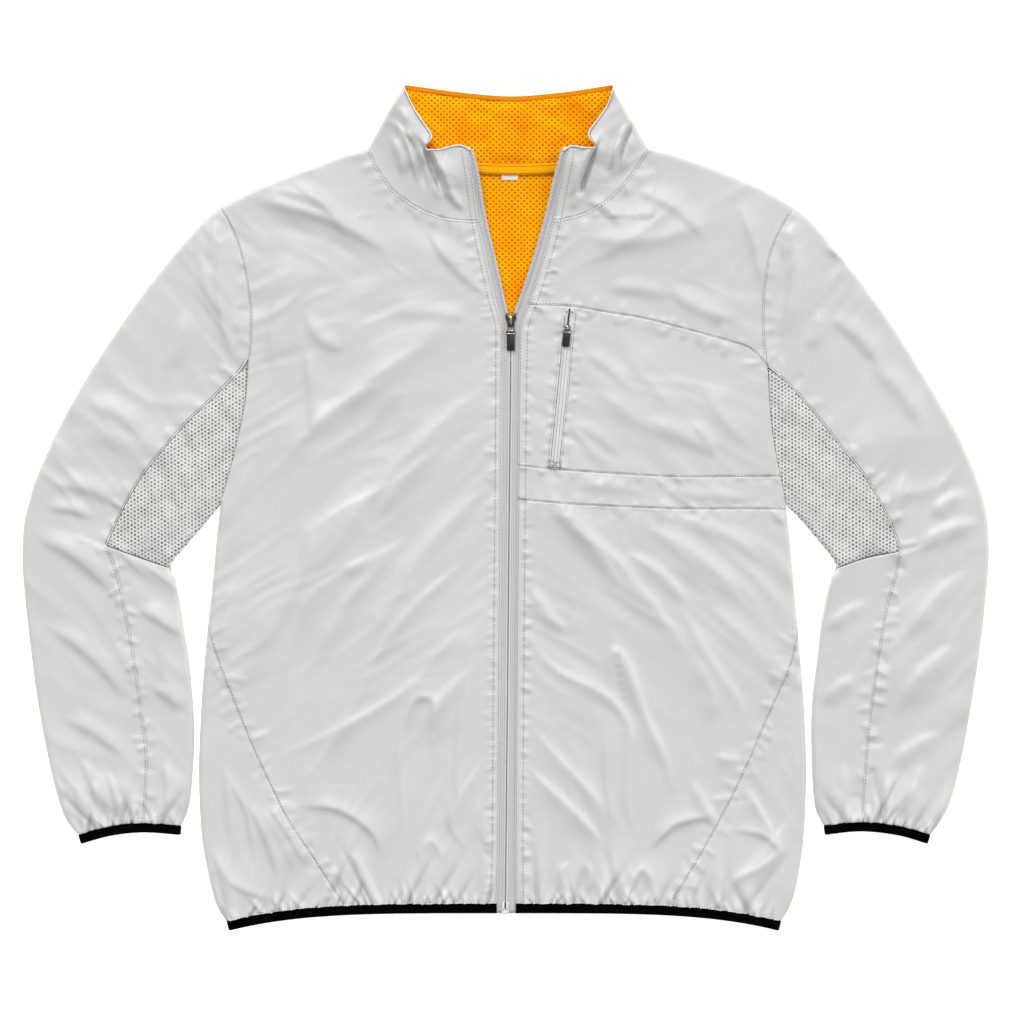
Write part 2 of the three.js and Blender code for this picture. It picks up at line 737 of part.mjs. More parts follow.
// A wall of cloth over a net: the outer face, the inner face and the strip round the rim.
function wallOf(net, sheet) {
  const turn = drawIn(net, sheet.gap ?? SEAM / 2);
  let id = 0;
  net.forEach((row) => row.forEach((p) => (p.id = id++)));
  const count = id;
  const flat = net.flat();
  const walls = flat.map((p) => wallAt(p.x, p.y, sheet));
  const outer = walls.map(([point]) => point);
  const inner = walls.map(([, point]) => point);
  const up = turn > 0 !== Boolean(sheet.down);
  const faces = net.slice(1).flatMap((row, i) => ladder(net[i], row));
  const rim = rimOf(net).map((p) => p.id);
  const strip = rim.flatMap((a, i) => {
    const b = rim[(i + 1) % rim.length];
    return [
      [a, a + count, b],
      [b, a + count, b + count],
    ];
  });
  const under = faces.map(([a, b, c]) => [a + count, c + count, b + count]);
  const all = [...faces, ...under, ...strip];
  return geometryOf([...outer, ...inner], up ? all : all.map(([a, b, c]) => [a, c, b]));
}

const jacket = new THREE.Group();
jacket.position.set(FRAME_SHIFT.x, FRAME_SHIFT.y, 0);

function add(name, geometry, look, parent = jacket) {
  const mesh = new THREE.Mesh(geometry, new THREE.MeshStandardMaterial(look));
  mesh.name = name;
  parent.add(mesh);
  return mesh;
}

function addPanel(name, panel, look) {
  return add(name, wallOf(netOf(panel), panel), look);
}

// A body panel has more columns over the gathers of the hem.
const gathered = (length, low, high) => (share) => (share * length < 46 ? low : high);

function buildRightFront() {
  const at = lines.right;
  const left = join(at.flankSeam, between(at.flank, at.flankSeam.at(1), at.flank.at(1)), at.armhole);
  addPanel(
    "front_right",
    {
      bottom: hemLine(-155, -9.5),
      top: join(at.shoulder, at.neck),
      left,
      right: between(at.front, at.front.at(0), at.neck.at(1)),
      follow: "left top bottom",
      across: gathered(left.length, 24, 17),
      fold: { left: true },
      height: bodyHeight,
    },
    SHELL,
  );
}

// The wearer's left front has a yoke, a chest panel with the pocket, a band and a lower panel.
function buildLeftFront() {
  const at = lines.left;
  const armpit = at.armhole.at(0);
  addPanel(
    "front_left_yoke",
    {
      bottom: yokeSeam,
      top: join(at.neck.reversed(), at.shoulder.reversed()),
      left: between(at.front, yokeSeam.at(0), at.neck.at(1)),
      right: between(at.armhole, at.mesh.at(0), at.armhole.at(1)),
      follow: "right bottom top",
      across: 18,
      fold: { right: true },
      height: bodyHeight,
    },
    SHELL,
  );
  addPanel(
    "front_left_chest",
    {
      bottom: bandUpper,
      top: yokeSeam,
      left: between(at.front, bandUpper.at(0), yokeSeam.at(0)),
      right: between(at.armhole, bandUpper.at(1), at.mesh.at(0)),
      follow: "right bottom top",
      across: 18,
      height: bodyHeight,
    },
    SHELL,
  );
  addPanel(
    "front_left_band",
    {
      bottom: bandLower,
      top: bandUpper,
      left: between(at.front, bandLower.at(0), bandUpper.at(0)),
      right: join(
        between(at.flank, bandLower.at(1), at.flank.at(1)),
        between(at.armhole, armpit, bandUpper.at(1)),
      ),
      follow: "right bottom top",
      across: 19,
      fold: { right: true },
      height: bodyHeight,
    },
    SHELL,
  );
  const right = join(at.flankSeam, between(at.flank, at.flankSeam.at(1), bandLower.at(1)));
  addPanel(
    "front_left_lower",
    {
      bottom: hemLine(8, 153.5),
      top: bandLower,
      left: between(at.front, at.front.at(0), bandLower.at(0)),
      right,
      follow: "right bottom top",
      across: gathered(right.length, 24, 17),
      fold: { right: true },
      height: bodyHeight,
    },
    SHELL,
  );
}

// The wedge that comes round from the side below the curved seam, cut off just short of its point.
function buildSidePanel(side) {
  const at = lines[side];
  const seam = stretch(at.flankSeam, 0, at.flankSeam.knots.at(-2));
  const edge = between(at.flank, at.flank.at(0), seam.at(1));
  addPanel(
    "side_panel_" + side,
    {
      bottom: hemLine(edge.at(0).x, seam.at(0).x),
      top: new Line([edge.at(1), seam.at(1)]),
      left: edge,
      right: seam,
      follow: "right bottom",
      across: (share) => Math.max(4, Math.round(13 * (1 - share))),
      fold: { left: true },
      height: bodyHeight,
    },
    SHELL,
  );
}

function buildSleeve(side) {
  const at = lines[side];
  const meshTop = at.mesh.at(0);
  const elbow = at.under.at(0);
  const elbowInner = at.crease.at(1);
  const cuffSplit = at.under.at(1);
  addPanel(
    "sleeve_outer_" + side,
    {
      bottom: between(at.cuff, at.cuff.at(0), cuffSplit),
      top: between(at.armhole, at.armhole.at(1), meshTop),
      left: at.outer.reversed(),
      right: join(at.mesh, at.under).reversed(),
      follow: "right bottom top",
      across: 10,
      fold: { left: true },
      height: outerSleeveHeight,
    },
    SHELL,
  );
  addPanel(
    "sleeve_mesh_" + side,
    {
      bottom: between(at.crease, elbow, elbowInner),
      top: between(at.armhole, meshTop, at.armhole.at(0)),
      left: at.mesh.reversed(),
      right: between(at.inner, elbowInner, at.inner.at(0)),
      follow: "left bottom top",
      across: 8,
      fold: { right: true },
      height: meshHeight,
    },
    MESH_GREY,
  );
  addPanel(
    "sleeve_under_" + side,
    {
      bottom: between(at.cuff, cuffSplit, at.cuff.at(1)),
      top: between(at.crease, elbow, elbowInner),
      left: at.under.reversed(),
      right: between(at.inner, at.inner.at(1), elbowInner),
      follow: "left bottom top",
      across: 7,
      fold: { right: true },
      height: underSleeveHeight,
    },
    SHELL,
  );
  addPanel(
    "sleeve_back_" + side,
    {
      bottom: at.cuff,
      top: at.armhole.reversed(),
      left: at.outer.reversed(),
      right: at.inner.reversed(),
      steps: 18,
      follow: "bottom top",
      across: 5,
      fold: { left: true, right: true },
      down: true,
    },
    SHELL,
  );
}

function buildBack() {
  const left = join(new Line(lines.right.flank.points).knotted(40), lines.right.armhole);
  addPanel(
    "back",
    {
      bottom: hemLine(lines.right.flank.at(0).x, lines.left.flank.at(0).x).knotted(25),
      top: join(lines.right.shoulder, backNeck, lines.left.shoulder.reversed()),
      left,
      right: join(lines.left.flank, lines.left.armhole),
      follow: "left top bottom",
      across: (share) => (share * left.length > left.length - 30 ? 14 : 6),
      fold: { left: true, right: true },
      down: true,
    },
    SHELL,
  );
}

const NECK_TAPE = { half: 5, from: -70, to: 78 };

function buildCollar() {
  for (const side of SIDES) {
    const at = lines[side];
    addPanel(
      "collar_front_" + side,
      {
        bottom: at.neck,
        top: at.collarTop,
        left: at.collarSide,
        right: between(at.front, at.neck.at(1), at.front.at(1)),
        steps: 8,
        follow: "bottom",
        across: 13,
        fold: { left: true },
        height: bodyHeight,
      },
      SHELL,
    );
  }
  const back = backNeck;
  const top = plain(COLLAR_BACK_TOP);
  addPanel(
    "collar_back",
    {
      bottom: back,
      top,
      left: lines.right.collarSide,
      right: lines.left.collarSide,
      steps: 4,
      follow: "bottom",
      across: 10,
      fold: { left: true, right: true },
      down: true,
      gap: 0.25,
    },
    SHELL,
  );
  const clear = ROLL + 4;
  const inset = (line, by) => new Line(line.points.map((p) => new THREE.Vector2(p.x + by, p.y)));
  const left = inset(lines.right.collarSide, clear);
  const right = inset(lines.left.collarSide, -clear);
  const lift = (line, by) => new Line(line.points.map((p) => new THREE.Vector2(p.x, p.y + by)));
  addPanel(
    "collar_lining",
    {
      bottom: between(lift(back, 1), left.at(0), right.at(0)),
      top: between(top, left.at(1), right.at(1)),
      left: new Line([between(lift(back, 1), left.at(0), right.at(0)).at(0), left.at(0.5), left.at(1)]),
      right: new Line([between(lift(back, 1), left.at(0), right.at(0)).at(1), right.at(0.5), right.at(1)]),
      steps: 3,
      across: 14,
      level: LINING_BASE + LINING,
      thick: LINING,
    },
    ORANGE,
  );
  const seamPoint = (x) => back.at(shareAtX(back, x));
  const low = lift(between(back, seamPoint(NECK_TAPE.from), seamPoint(NECK_TAPE.to)), -NECK_TAPE.half);
  const high = lift(between(back, seamPoint(NECK_TAPE.from), seamPoint(NECK_TAPE.to)), NECK_TAPE.half);
  addPanel(
    "neck_tape",
    {
      bottom: low,
      top: high,
      left: new Line([low.at(0), high.at(0)]),
      right: new Line([low.at(1), high.at(1)]),
      steps: 1,
      across: 14,
      level: LINING_BASE + LINING + SEAM + 0.8,
      thick: 0.8,
    },
    ORANGE,
  );
}

function shareAtX(line, x) {
  const i = line.points.findIndex((p) => p.x >= x);
  return line.lengths[i] / line.length;
}

// The back's mesh lining shows through the open front, and runs a little way under both fronts.
const BACK_LINING = table("y right left", [
  [140, -30, 38],
  [190, -40, 48],
  [240, -52, 66],
  [319, -70, 78],
]);

function buildBackLining() {
  const left = bySide(BACK_LINING, "right");
  const right = bySide(BACK_LINING, "left");
  const back = backNeck;
  const lowered = new Line(back.points.map((p) => new THREE.Vector2(p.x, p.y - 1.5)));
  const top = between(lowered, left.at(1), right.at(1));
  addPanel(
    "back_lining",
    {
      bottom: new Line([left.at(0), right.at(0)]),
      top,
      left: new Line([...left.points.slice(0, -1), top.at(0)]),
      right: new Line([...right.points.slice(0, -1), top.at(1)]),
      steps: 6,
      across: 8,
      level: LINING_BASE + LINING,
      thick: LINING,
    },
    ORANGE,
  );
}

const NECK_LABEL = { x: 3.5, y: 310.5, wide: 13, tall: 6, thick: 0.6 };

function buildNeckLabel() {
  const { x, y, wide, tall, thick } = NECK_LABEL;
  const label = add("neck_label", new THREE.BoxGeometry(wide, tall, thick), WHITE_PLASTIC);
  label.position.set(x, y, LINING_BASE + LINING + SEAM + thick / 2);
}

// Half of the front zip's tape, from the hem to the collar's top.
function buildZipTape(side) {
  const at = lines[side];
  const inward = side === "right" ? 2 * SEAM : -2 * SEAM;
  const shell = new Line([at.front.at(0).add(new THREE.Vector2(0, -9.3)), ...at.front.points].map((p) => new THREE.Vector2(p.x + inward, p.y)));
  addPanel(
    "zip_tape_" + side,
    {
      bottom: new Line([shell.at(0), at.meeting.at(0)]),
      top: new Line([shell.at(1), at.meeting.at(1)]),
      left: shell,
      right: at.meeting,
      steps: 36,
      across: 1,
      height: (x, y) => clothHeight(x, Math.max(y, -376)) - TAPE_DROP,
      thick: TAPE,
      gap: 0.25,
    },
    TAPE_GREY,
  );
}

// A strip that runs along a row of stations; each has an outer point at both edges and an outward normal.
function stripOf(stations, closed, thick) {
  const points = stations.flatMap(({ upper, lower, normal }) => [
    upper,
    lower,
    lower.clone().addScaledVector(normal, -thick),
    upper.clone().addScaledVector(normal, -thick),
  ]);
  const faces = [];
  const count = closed ? stations.length : stations.length - 1;
  for (let i = 0; i < count; i++) {
    const a = 4 * i;
    const b = 4 * ((i + 1) % stations.length);
    for (let k = 0; k < 4; k++) {
      const next = (k + 1) % 4;
      faces.push([a + k, b + k, a + next], [b + k, b + next, a + next]);
    }
  }
  if (!closed) {
    const end = 4 * (stations.length - 1);
    faces.push([0, 1, 2], [0, 2, 3], [end, end + 2, end + 1], [end, end + 3, end + 2]);
  }
  return geometryOf(points, faces);
}

// Stations of a binding that lies in two layers, along the top and then back along the underside.
// upper gives a point of the sewn edge and drop the way across the binding, both by the distance along.
function foldedStations(along, edge, layers) {
  const radius = layers / 2;
  return along.map(({ distance, turn, under }) => {
    const place = edge(distance + turn.out * radius);
    const z = radius + radius * (under ? -turn.up : turn.up);
    const normal = new THREE.Vector3(
      place.along.x * turn.out,
      place.along.y * turn.out,
      under ? -turn.up : turn.up,
    ).normalize();
    return {
      upper: new THREE.Vector3(place.upper.x, place.upper.y, z),
      lower: new THREE.Vector3(place.lower.x, place.lower.y, z),
      normal,
    };
  });
}

const FLAT_TURN = { out: 0, up: 1 };

// Half a turn round the end of a binding, in steps; out is +1 at the far end and -1 at the near one.
function turnSteps(distance, out, fromUnder) {
  const steps = [1, 2, 3, 4, 5].map((k) => (Math.PI * k) / 6);
  return steps.map((angle) => ({
    distance,
    turn: { out: out * Math.sin(angle), up: fromUnder ? -Math.cos(angle) : Math.cos(angle) },
    under: false,
  }));
}

function buildHemBinding() {
  const start = lines.right.flank.at(0).x;
  const end = lines.left.flank.at(0).x;
  const radius = BOUND / 2;
  const edge = (x) => {
    const slope = (hemHeight(x + 0.5) - hemHeight(x - 0.5)) / 1;
    const long = Math.hypot(1, slope);
    const across = { x: slope / long, y: -1 / long };
    const upper = { x: x + across.x * BIND_GAP, y: hemHeight(x) + across.y * BIND_GAP };
    const lower = { x: upper.x + across.x * BINDING_WIDE, y: upper.y + across.y * BINDING_WIDE };
    return { upper, lower, along: { x: 1 / long, y: slope / long } };
  };
  const rightFront = lines.right.front.at(0).x - SEAM;
  const leftFront = lines.left.front.at(0).x + SEAM;
  const run = (from, to, under) => {
    const steps = Math.max(2, Math.round(Math.abs(to - from) / 22));
    return Array.from({ length: steps + 1 }, (_, i) => ({
      distance: from + ((to - from) * i) / steps,
      turn: FLAT_TURN,
      under,
    }));
  };
  const low = start + radius;
  const high = end - radius;
  const along = [
    ...run(rightFront, low, false),
    ...turnSteps(low, -1, false),
    ...run(low, high, true),
    ...turnSteps(high, 1, true),
    ...run(high, leftFront, false),
  ];
  const geometry = stripOf(foldedStations(along, edge, BOUND), false, BINDING_THICK);
  add("hem_binding", geometry, BLACK_KNIT);
}

function buildCuffBinding(side) {
  const line = side === "right" ? lines.right.cuff : lines.left.cuff.reversed();
  const length = line.length;
  const radius = BOUND / 2;
  const edge = (distance) => {
    const share = distance / length;
    const p = line.at(share);
    const q = line.at(Math.min(share + 0.03, 1));
    const o = line.at(Math.max(share - 0.03, 0));
    const tangent = q.sub(o).normalize();
    const across = { x: tangent.y, y: -tangent.x };
    const upper = { x: p.x + across.x * BIND_GAP, y: p.y + across.y * BIND_GAP };
    const lower = { x: upper.x + across.x * CUFF_WIDE, y: upper.y + across.y * CUFF_WIDE };
    return { upper, lower, along: tangent };
  };
  const steps = 9;
  const low = radius;
  const high = length - radius;
  const at = (i) => low + ((high - low) * i) / steps;
  const top = Array.from({ length: steps + 1 }, (_, i) => ({ distance: at(steps - i), turn: FLAT_TURN, under: false }));
  const bottom = Array.from({ length: steps + 1 }, (_, i) => ({ distance: at(i), turn: FLAT_TURN, under: true }));
  const along = [...top, ...turnSteps(low, -1, false), ...bottom, ...turnSteps(high, 1, true)];
  const geometry = stripOf(foldedStations(along, edge, BOUND), true, BINDING_THICK);
  add("cuff_binding_" + side, geometry, BLACK_KNIT);
}

function solidOf(geometry) {
  const flat = geometry.index ? geometry.toNonIndexed() : geometry;
  const seen = new Map();
  const points = [];
  const corners = [];
  const position = flat.getAttribute("position");
  for (let i = 0; i < position.count; i++) {
    const p = [position.getX(i), position.getY(i), position.getZ(i)].map((c) => Math.round(c * 1e4) / 1e4);
    const key = p.join();
    if (!seen.has(key)) {
      seen.set(key, points.length / 3);
      points.push(...p);
    }
    corners.push(seen.get(key));
  }
  const mesh = new wasm.Mesh({
    numProp: 3,
    vertProperties: new Float32Array(points),
    triVerts: new Uint32Array(corners),
  });
  return new wasm.Manifold(mesh);
}

function geometryFromSolid(solid) {
  const { vertProperties, triVerts } = solid.getMesh();
  const geometry = new THREE.BufferGeometry();
  geometry.setAttribute("position", new THREE.BufferAttribute(vertProperties, 3));
  geometry.setIndex(new THREE.BufferAttribute(triVerts, 1));
  geometry.computeVertexNormals();
  return geometry;
}

function roundedBar(wide, tall, corner, deep) {
  const shape = new THREE.Shape();
  const x = wide / 2;
  const y = tall / 2;
  shape.moveTo(-x + corner, -y);
  shape.lineTo(x - corner, -y);
  shape.quadraticCurveTo(x, -y, x, -y + corner);
  shape.lineTo(x, y - corner);
  shape.quadraticCurveTo(x, y, x - corner, y);
  shape.lineTo(-x + corner, y);
  shape.quadraticCurveTo(-x, y, -x, y - corner);
  shape.lineTo(-x, -y + corner);
  shape.quadraticCurveTo(-x, -y, -x + corner, -y);
  return new THREE.ExtrudeGeometry(shape, { depth: deep, bevelEnabled: false, curveSegments: 3 });
}

// A zip's slider with its bridge, in its own frame: the crown points to +Y and its underside is at z = 0.
function sliderGeometry(size) {
  const { wide, long, plate } = size;
  const shape = new THREE.Shape();
  shape.moveTo(-wide * 0.32, -long / 2);
  shape.lineTo(wide * 0.32, -long / 2);
  shape.quadraticCurveTo(wide * 0.38, 0, wide / 2, long * 0.22);
  shape.quadraticCurveTo(wide / 2, long * 0.46, wide * 0.3, long / 2);
  shape.lineTo(wide * 0.12, long * 0.4);
  shape.lineTo(-wide * 0.12, long * 0.4);
  shape.lineTo(-wide * 0.3, long / 2);
  shape.quadraticCurveTo(-wide / 2, long * 0.46, -wide / 2, long * 0.22);
  shape.quadraticCurveTo(-wide * 0.38, 0, -wide * 0.32, -long / 2);
  const base = new THREE.ExtrudeGeometry(shape, { depth: plate, bevelEnabled: false, curveSegments: 4 });
  const { bridgeWide, hole, strap, bar } = size;
  const arch = new THREE.Shape();
  const half = hole / 2 + strap;
  arch.moveTo(-half, -0.4);
  arch.lineTo(-hole / 2, -0.4);
  arch.lineTo(-hole / 2, bar * 1.2);
  arch.quadraticCurveTo(-hole / 2, size.holeTall, 0, size.holeTall);
  arch.quadraticCurveTo(hole / 2, size.holeTall, hole / 2, bar * 1.2);
  arch.lineTo(hole / 2, -0.4);
  arch.lineTo(half, -0.4);
  arch.lineTo(half, bar * 1.2);
  arch.quadraticCurveTo(half, size.holeTall + strap, 0, size.holeTall + strap);
  arch.quadraticCurveTo(-half, size.holeTall + strap, -half, bar * 1.2);
  const bridge = new THREE.ExtrudeGeometry(arch, { depth: bridgeWide, bevelEnabled: false, curveSegments: 4 });
  bridge.rotateX(Math.PI / 2);
  bridge.rotateZ(Math.PI / 2);
  bridge.translate(-bridgeWide / 2, size.bridgeY, plate);
  return geometryFromSolid(solidOf(base).add(solidOf(bridge)));
}

// The metal ring that hangs in the bridge; its axle lies along X through the frame's origin.
function linkGeometry(size) {
  const { bar, ringWide, ringLong } = size;
  const outer = roundedBar(ringWide + 2 * bar, ringLong + 2 * bar, bar, bar);
  const inner = roundedBar(ringWide, ringLong, 0.3, bar * 3);
  outer.translate(0, -ringLong / 2 - bar / 2, -bar / 2);
  inner.translate(0, -ringLong / 2 - bar / 2, -bar * 1.5);
  return geometryFromSolid(solidOf(outer).subtract(solidOf(inner)));
}

const MAIN_ZIP = {
  wide: 10.6,
  long: 13.4,
  plate: 1.5,
  bridgeWide: 2.2,
  bridgeY: -1.8,
  hole: 2.6,
  strap: 0.7,
  holeTall: 2.0,
  bar: 0.9,
  ringWide: 3.2,
  ringLong: 10.0,
  tabWide: 7.6,
  tabLong: 15.6,
  tabThick: 2.2,
};
const POCKET_ZIP = {
  ...MAIN_ZIP,
  wide: 6.8,
  long: 7.2,
  plate: 1.2,
  bridgeWide: 1.8,
  bridgeY: -0.9,
  ringWide: 2.8,
  ringLong: 2.2,
  tabWide: 6.7,
  tabLong: 13.2,
  tabThick: 2.0,
};

// A slider with its link and tab. The link's axle is the hinge, and both lie flat along -Y.
function buildSlider(name, size, place) {
  const group = new THREE.Group();
  group.position.set(place.x, place.y, place.z);
  group.rotation.z = place.tilt;
  jacket.add(group);
  add(name + "_slider", sliderGeometry(size), GUNMETAL, group);
  const axleZ = size.plate + SEAM + size.bar / 2;
  const link = add(name + "_link", linkGeometry(size), GUNMETAL, group);
  link.position.set(0, size.bridgeY, axleZ);
  const tab = add(name + "_tab", roundedBar(size.tabWide, size.tabLong, 1.6, size.tabThick), RUBBER, group);
  const tabTop = size.bridgeY - size.ringLong - 1.5 * size.bar - SEAM;
  tab.position.set(0, tabTop - size.tabLong / 2, 0.2);
}

const POCKET = table("x y", [
  [59.5, 189],
  [45.17, 37.5],
]);
const POCKET_TAPE = { half: 6.2, thick: 0.9 };

function buildPocket() {
  const [top, bottom] = POCKET;
  const offset = (p, by) => new THREE.Vector2(p.x + by, p.y);
  const { half, thick } = POCKET_TAPE;
  addPanel(
    "pocket_tape",
    {
      bottom: new Line([offset(bottom, -half), offset(bottom, half)]),
      top: new Line([offset(top, -half), offset(top, half)]),
      left: new Line([offset(bottom, -half), offset(top, -half)]),
      right: new Line([offset(bottom, half), offset(top, half)]),
      steps: 14,
      across: 2,
      height: (x, y) => clothHeight(x, y) + SEAM + thick,
      thick,
    },
    TAPE_GREY,
  );
  const tilt = -Math.atan2(top.x - bottom.x, top.y - bottom.y);
  const z = clothHeight(POCKET_SLIDER.x, POCKET_SLIDER.y) + 2 * SEAM + thick;
  buildSlider("pocket", POCKET_ZIP, { ...POCKET_SLIDER, z, tilt });
}

const SLIDER_PLACE = { x: 3.7, y: 177.6 };
const BOX_END = { x: -1.6, y: -381.6, wide: 6, tall: 10, thick: 2.2 };

function buildFrontZip() {
  SIDES.forEach(buildZipTape);
  const z = LAYERS - TAPE_DROP + SEAM;
  buildSlider("zip", MAIN_ZIP, { ...SLIDER_PLACE, z, tilt: 0 });
  const box = add("zip_box", roundedBar(BOX_END.wide, BOX_END.tall, 1, BOX_END.thick), WHITE_PLASTIC);
  box.position.set(BOX_END.x, BOX_END.y, BOUND - TAPE_DROP + SEAM + 0.2);
}

buildBack();
buildBackLining();
buildRightFront();
buildLeftFront();
SIDES.forEach(buildSidePanel);
SIDES.forEach(buildSleeve);
buildCollar();
buildNeckLabel();
buildHemBinding();
SIDES.forEach(buildCuffBinding);
buildFrontZip();
buildPocket();

export default jacket;
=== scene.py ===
"""Dresses the windbreaker jacket: cloth panels, linings, bindings, zips, pocket and stitching."""

import math

import bmesh
import bpy
import numpy as np
from mathutils import Matrix, Vector


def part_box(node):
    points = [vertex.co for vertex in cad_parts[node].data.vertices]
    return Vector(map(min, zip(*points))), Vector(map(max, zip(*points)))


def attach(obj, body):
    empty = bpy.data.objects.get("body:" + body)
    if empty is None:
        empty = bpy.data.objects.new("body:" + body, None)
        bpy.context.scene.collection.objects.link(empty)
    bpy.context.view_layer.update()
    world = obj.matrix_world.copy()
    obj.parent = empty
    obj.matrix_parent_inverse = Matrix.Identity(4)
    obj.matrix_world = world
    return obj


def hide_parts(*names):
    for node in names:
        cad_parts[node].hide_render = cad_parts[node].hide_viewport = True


bl_info = {
    "name": "Windbreaker jacket",
    "version": (1, 0, 0),
    "blender": (4, 5, 0),
    "location": "View3D > Sidebar > Jacket",
    "description": "Builds a laid-out windbreaker jacket around its measured frame",
    "category": "Object",
}

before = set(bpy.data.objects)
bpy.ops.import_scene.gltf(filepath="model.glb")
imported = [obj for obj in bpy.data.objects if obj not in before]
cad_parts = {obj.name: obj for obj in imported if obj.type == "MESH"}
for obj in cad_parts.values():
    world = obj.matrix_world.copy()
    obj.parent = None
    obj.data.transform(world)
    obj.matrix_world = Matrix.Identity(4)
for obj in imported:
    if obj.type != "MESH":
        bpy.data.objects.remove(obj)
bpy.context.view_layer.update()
JACKET = "jacket"

MM = 0.001

# Sizes of the pattern, in millimetres, the same as the frame's.
LAYERS = 7.0  # depth of the two layers
BOUND = 5.6  # depth where elastic draws them together
ROLL = 5.0  # how far in a folded edge rounds over
MIDDLE = LAYERS / 2
LEAST = 4.9  # lowest that the upper layer may dip
LINING_TOP = 3.1
TAPE_DROP = 1.2  # how far the zip's tapes lie below the shell
COLLAR_RISE = 8.0
BINDING_WIDE = 9.6
BINDING_THICK = 2.1
CUFF_WIDE = 9.2
BINDING_REACH = 0.18  # gap between the shell's edge and a binding
LEAST_CUT = 0.0101  # least side of a flat cut that may be stated, in metres
SHIFT = (1.25, 0.75)  # from the tables below to the frame's origin
SEAM_DROP, SEAM_WIDE = 0.75, 0.65  # depth and width of a seam's groove
ZIP_RIB, ELASTIC_RIB = 1.7, 1.6  # pitch of the ribs in the zip's tape and in the elastic
COIL_WIDE = 1.8
CHAIN_PITCH = 1.6  # of the closed zips' teeth

# Sections of the outline: the height, then x on the wearer's right and left.
SLEEVE_OUTER = [
    (285, -272.5, 273), (272.5, -288, 288), (253.5, -305, 305), (215.5, -336.5, 335.5),
    (177.5, -364, 363), (139.5, -389.5, 387.5), (101.5, -412.5, 410.5), (63.5, -432, 431.5),
    (25.5, -448.5, 447.5), (6.5, -454, 453), (-12.5, -459, 457), (-41, -461, 458.5),
    (-69.5, -460, 457), (-126.5, -454, 451), (-183.5, -446.5, 442.5), (-240.5, -436, 432),
    (-278.5, -426.5, 422), (-297.5, -419, 413), (-311.5, -408, 403),
]
SLEEVE_INNER = [
    (2, -272.5, 265), (-12.5, -284, 279.5), (-31.5, -300, 295.5), (-50, -316.5, 310.5),
    (-58, -321, 314), (-63, -318, 311), (-69.5, -314.5, 307), (-107.5, -308, 299),
    (-145.5, -302, 294.5), (-183.5, -298.5, 290), (-221.5, -297, 289), (-278.5, -301, 291.5),
    (-297.5, -307, 298), (-302.5, -309.5, 301),
]
BODY_SIDE = [
    (-393.5, -267, 261), (-378, -276.5, 270), (-354.5, -283, 276.5), (-316.5, -290, 282),
    (-278.5, -292.5, 284), (-240.5, -293, 284.5), (-183.5, -290.5, 282), (-126.5, -286, 277.5),
    (-69.5, -280, 272.5), (-31.5, -276.5, 269), (2, -272.5, 265),
]
ARMHOLE = [
    (2, -272.5, 265), (35, -263, 258.5), (63.5, -256, 253), (97, -249, 249.5),
    (125, -246.5, 248), (141, -245.5, 246.5), (164.5, -244, 244.5), (186, -244, 244),
    (214, -247.5, 246), (241, -253, 251), (264, -261.5, 260.5), (285, -272.5, 273),
]
FRONT_EDGE = [
    (-376.5, -9.5, 8), (-324, -7.5, 7.5), (-183.5, -6.5, 8), (44.5, -4.5, 10),
    (154, -4, 11.5), (176, -5, 13.5), (199, -11.5, 22), (233.5, -19, 33),
    (272, -27, 43), (302.5, -31, 49), (339, -36.5, 56.5),
]
ZIP_MEETING = [
    (-386.5, -1.6, -1.6), (-200, 0.2, 0.2), (0, 2.1, 2.1), (100, 3.1, 3.1), (150, 3.6, 3.6),
    (168, 3.8, 3.8), (178, 3.6, 4.2), (186, 0.5, 7.5), (203, -3.5, 13.5), (237, -11, 25),
    (276, -20, 36), (315, -26.5, 45), (338, -32, 51.5),
]
SHOULDER = [
    (285, -272.5, 273), (301, -243, 245), (310.5, -220.5, 224), (320, -196.5, 201.5),
    (329.5, -170, 175), (335.5, -154, 157), (341, -132, 134.5),
]

# Seams: a point on the wearer's right, then one on the left.
NECK_SEAM = [
    (-132, 341, 134.5, 341), (-123, 322, 120.5, 320), (-109, 302, 106.5, 302.5),
    (-92, 289, 92, 289.5), (-76, 280, 73.5, 279), (-59.5, 274.5, 57.5, 274.5),
    (-44.5, 272.5, 50, 273), (-27, 272, 43, 272),
]
MESH_SEAM = [
    (-245.5, 141, 247.4, 133), (-254, 128, 267, 116), (-278.5, 103.5, 286, 95),
    (-307.5, 75.5, 303.5, 73.5), (-326, 53.5, 322, 49.5), (-347.5, 26.5, 341, 25.5),
    (-365.5, -5.5, 361.5, -12.5), (-380, -37, 372.5, -42),
]
UNDERSLEEVE_SEAM = [
    (-380, -37, 372.5, -42), (-369, -65, 368.5, -63.5), (-360.5, -104.5, 359, -99),
    (-351.5, -157, 350, -152.5), (-347, -194, 343.5, -203.5), (-342, -232, 340, -242),
    (-342.5, -264, 338, -270), (-344.5, -300, 337, -299),
]
ELBOW_CREASE = [
    (-459, -14, 455, 2), (-410.5, -24.5, 402, -30), (-380, -37, 372.5, -42),
    (-348.5, -48.5, 342, -48.5), (-321, -58, 314, -58),
]
SIDE_SEAM = [
    (-155, -378.37, 153.5, -378.6), (-181.5, -338, 170, -354), (-205, -302, 196.5, -309),
    (-219, -276.5, 224, -255.5), (-241.5, -229, 250, -195.5), (-261, -181.5, 270, -150),
    (-276, -142, 275.2, -126.5), (-284.2, -112, 276, -108),
]
CUFF_TOP = [
    (-408, -311.5, 403, -311.5), (-379, -303.5, 373.5, -303), (-346, -300, 336.5, -299),
    (-309.5, -302.5, 301, -302.5),
]
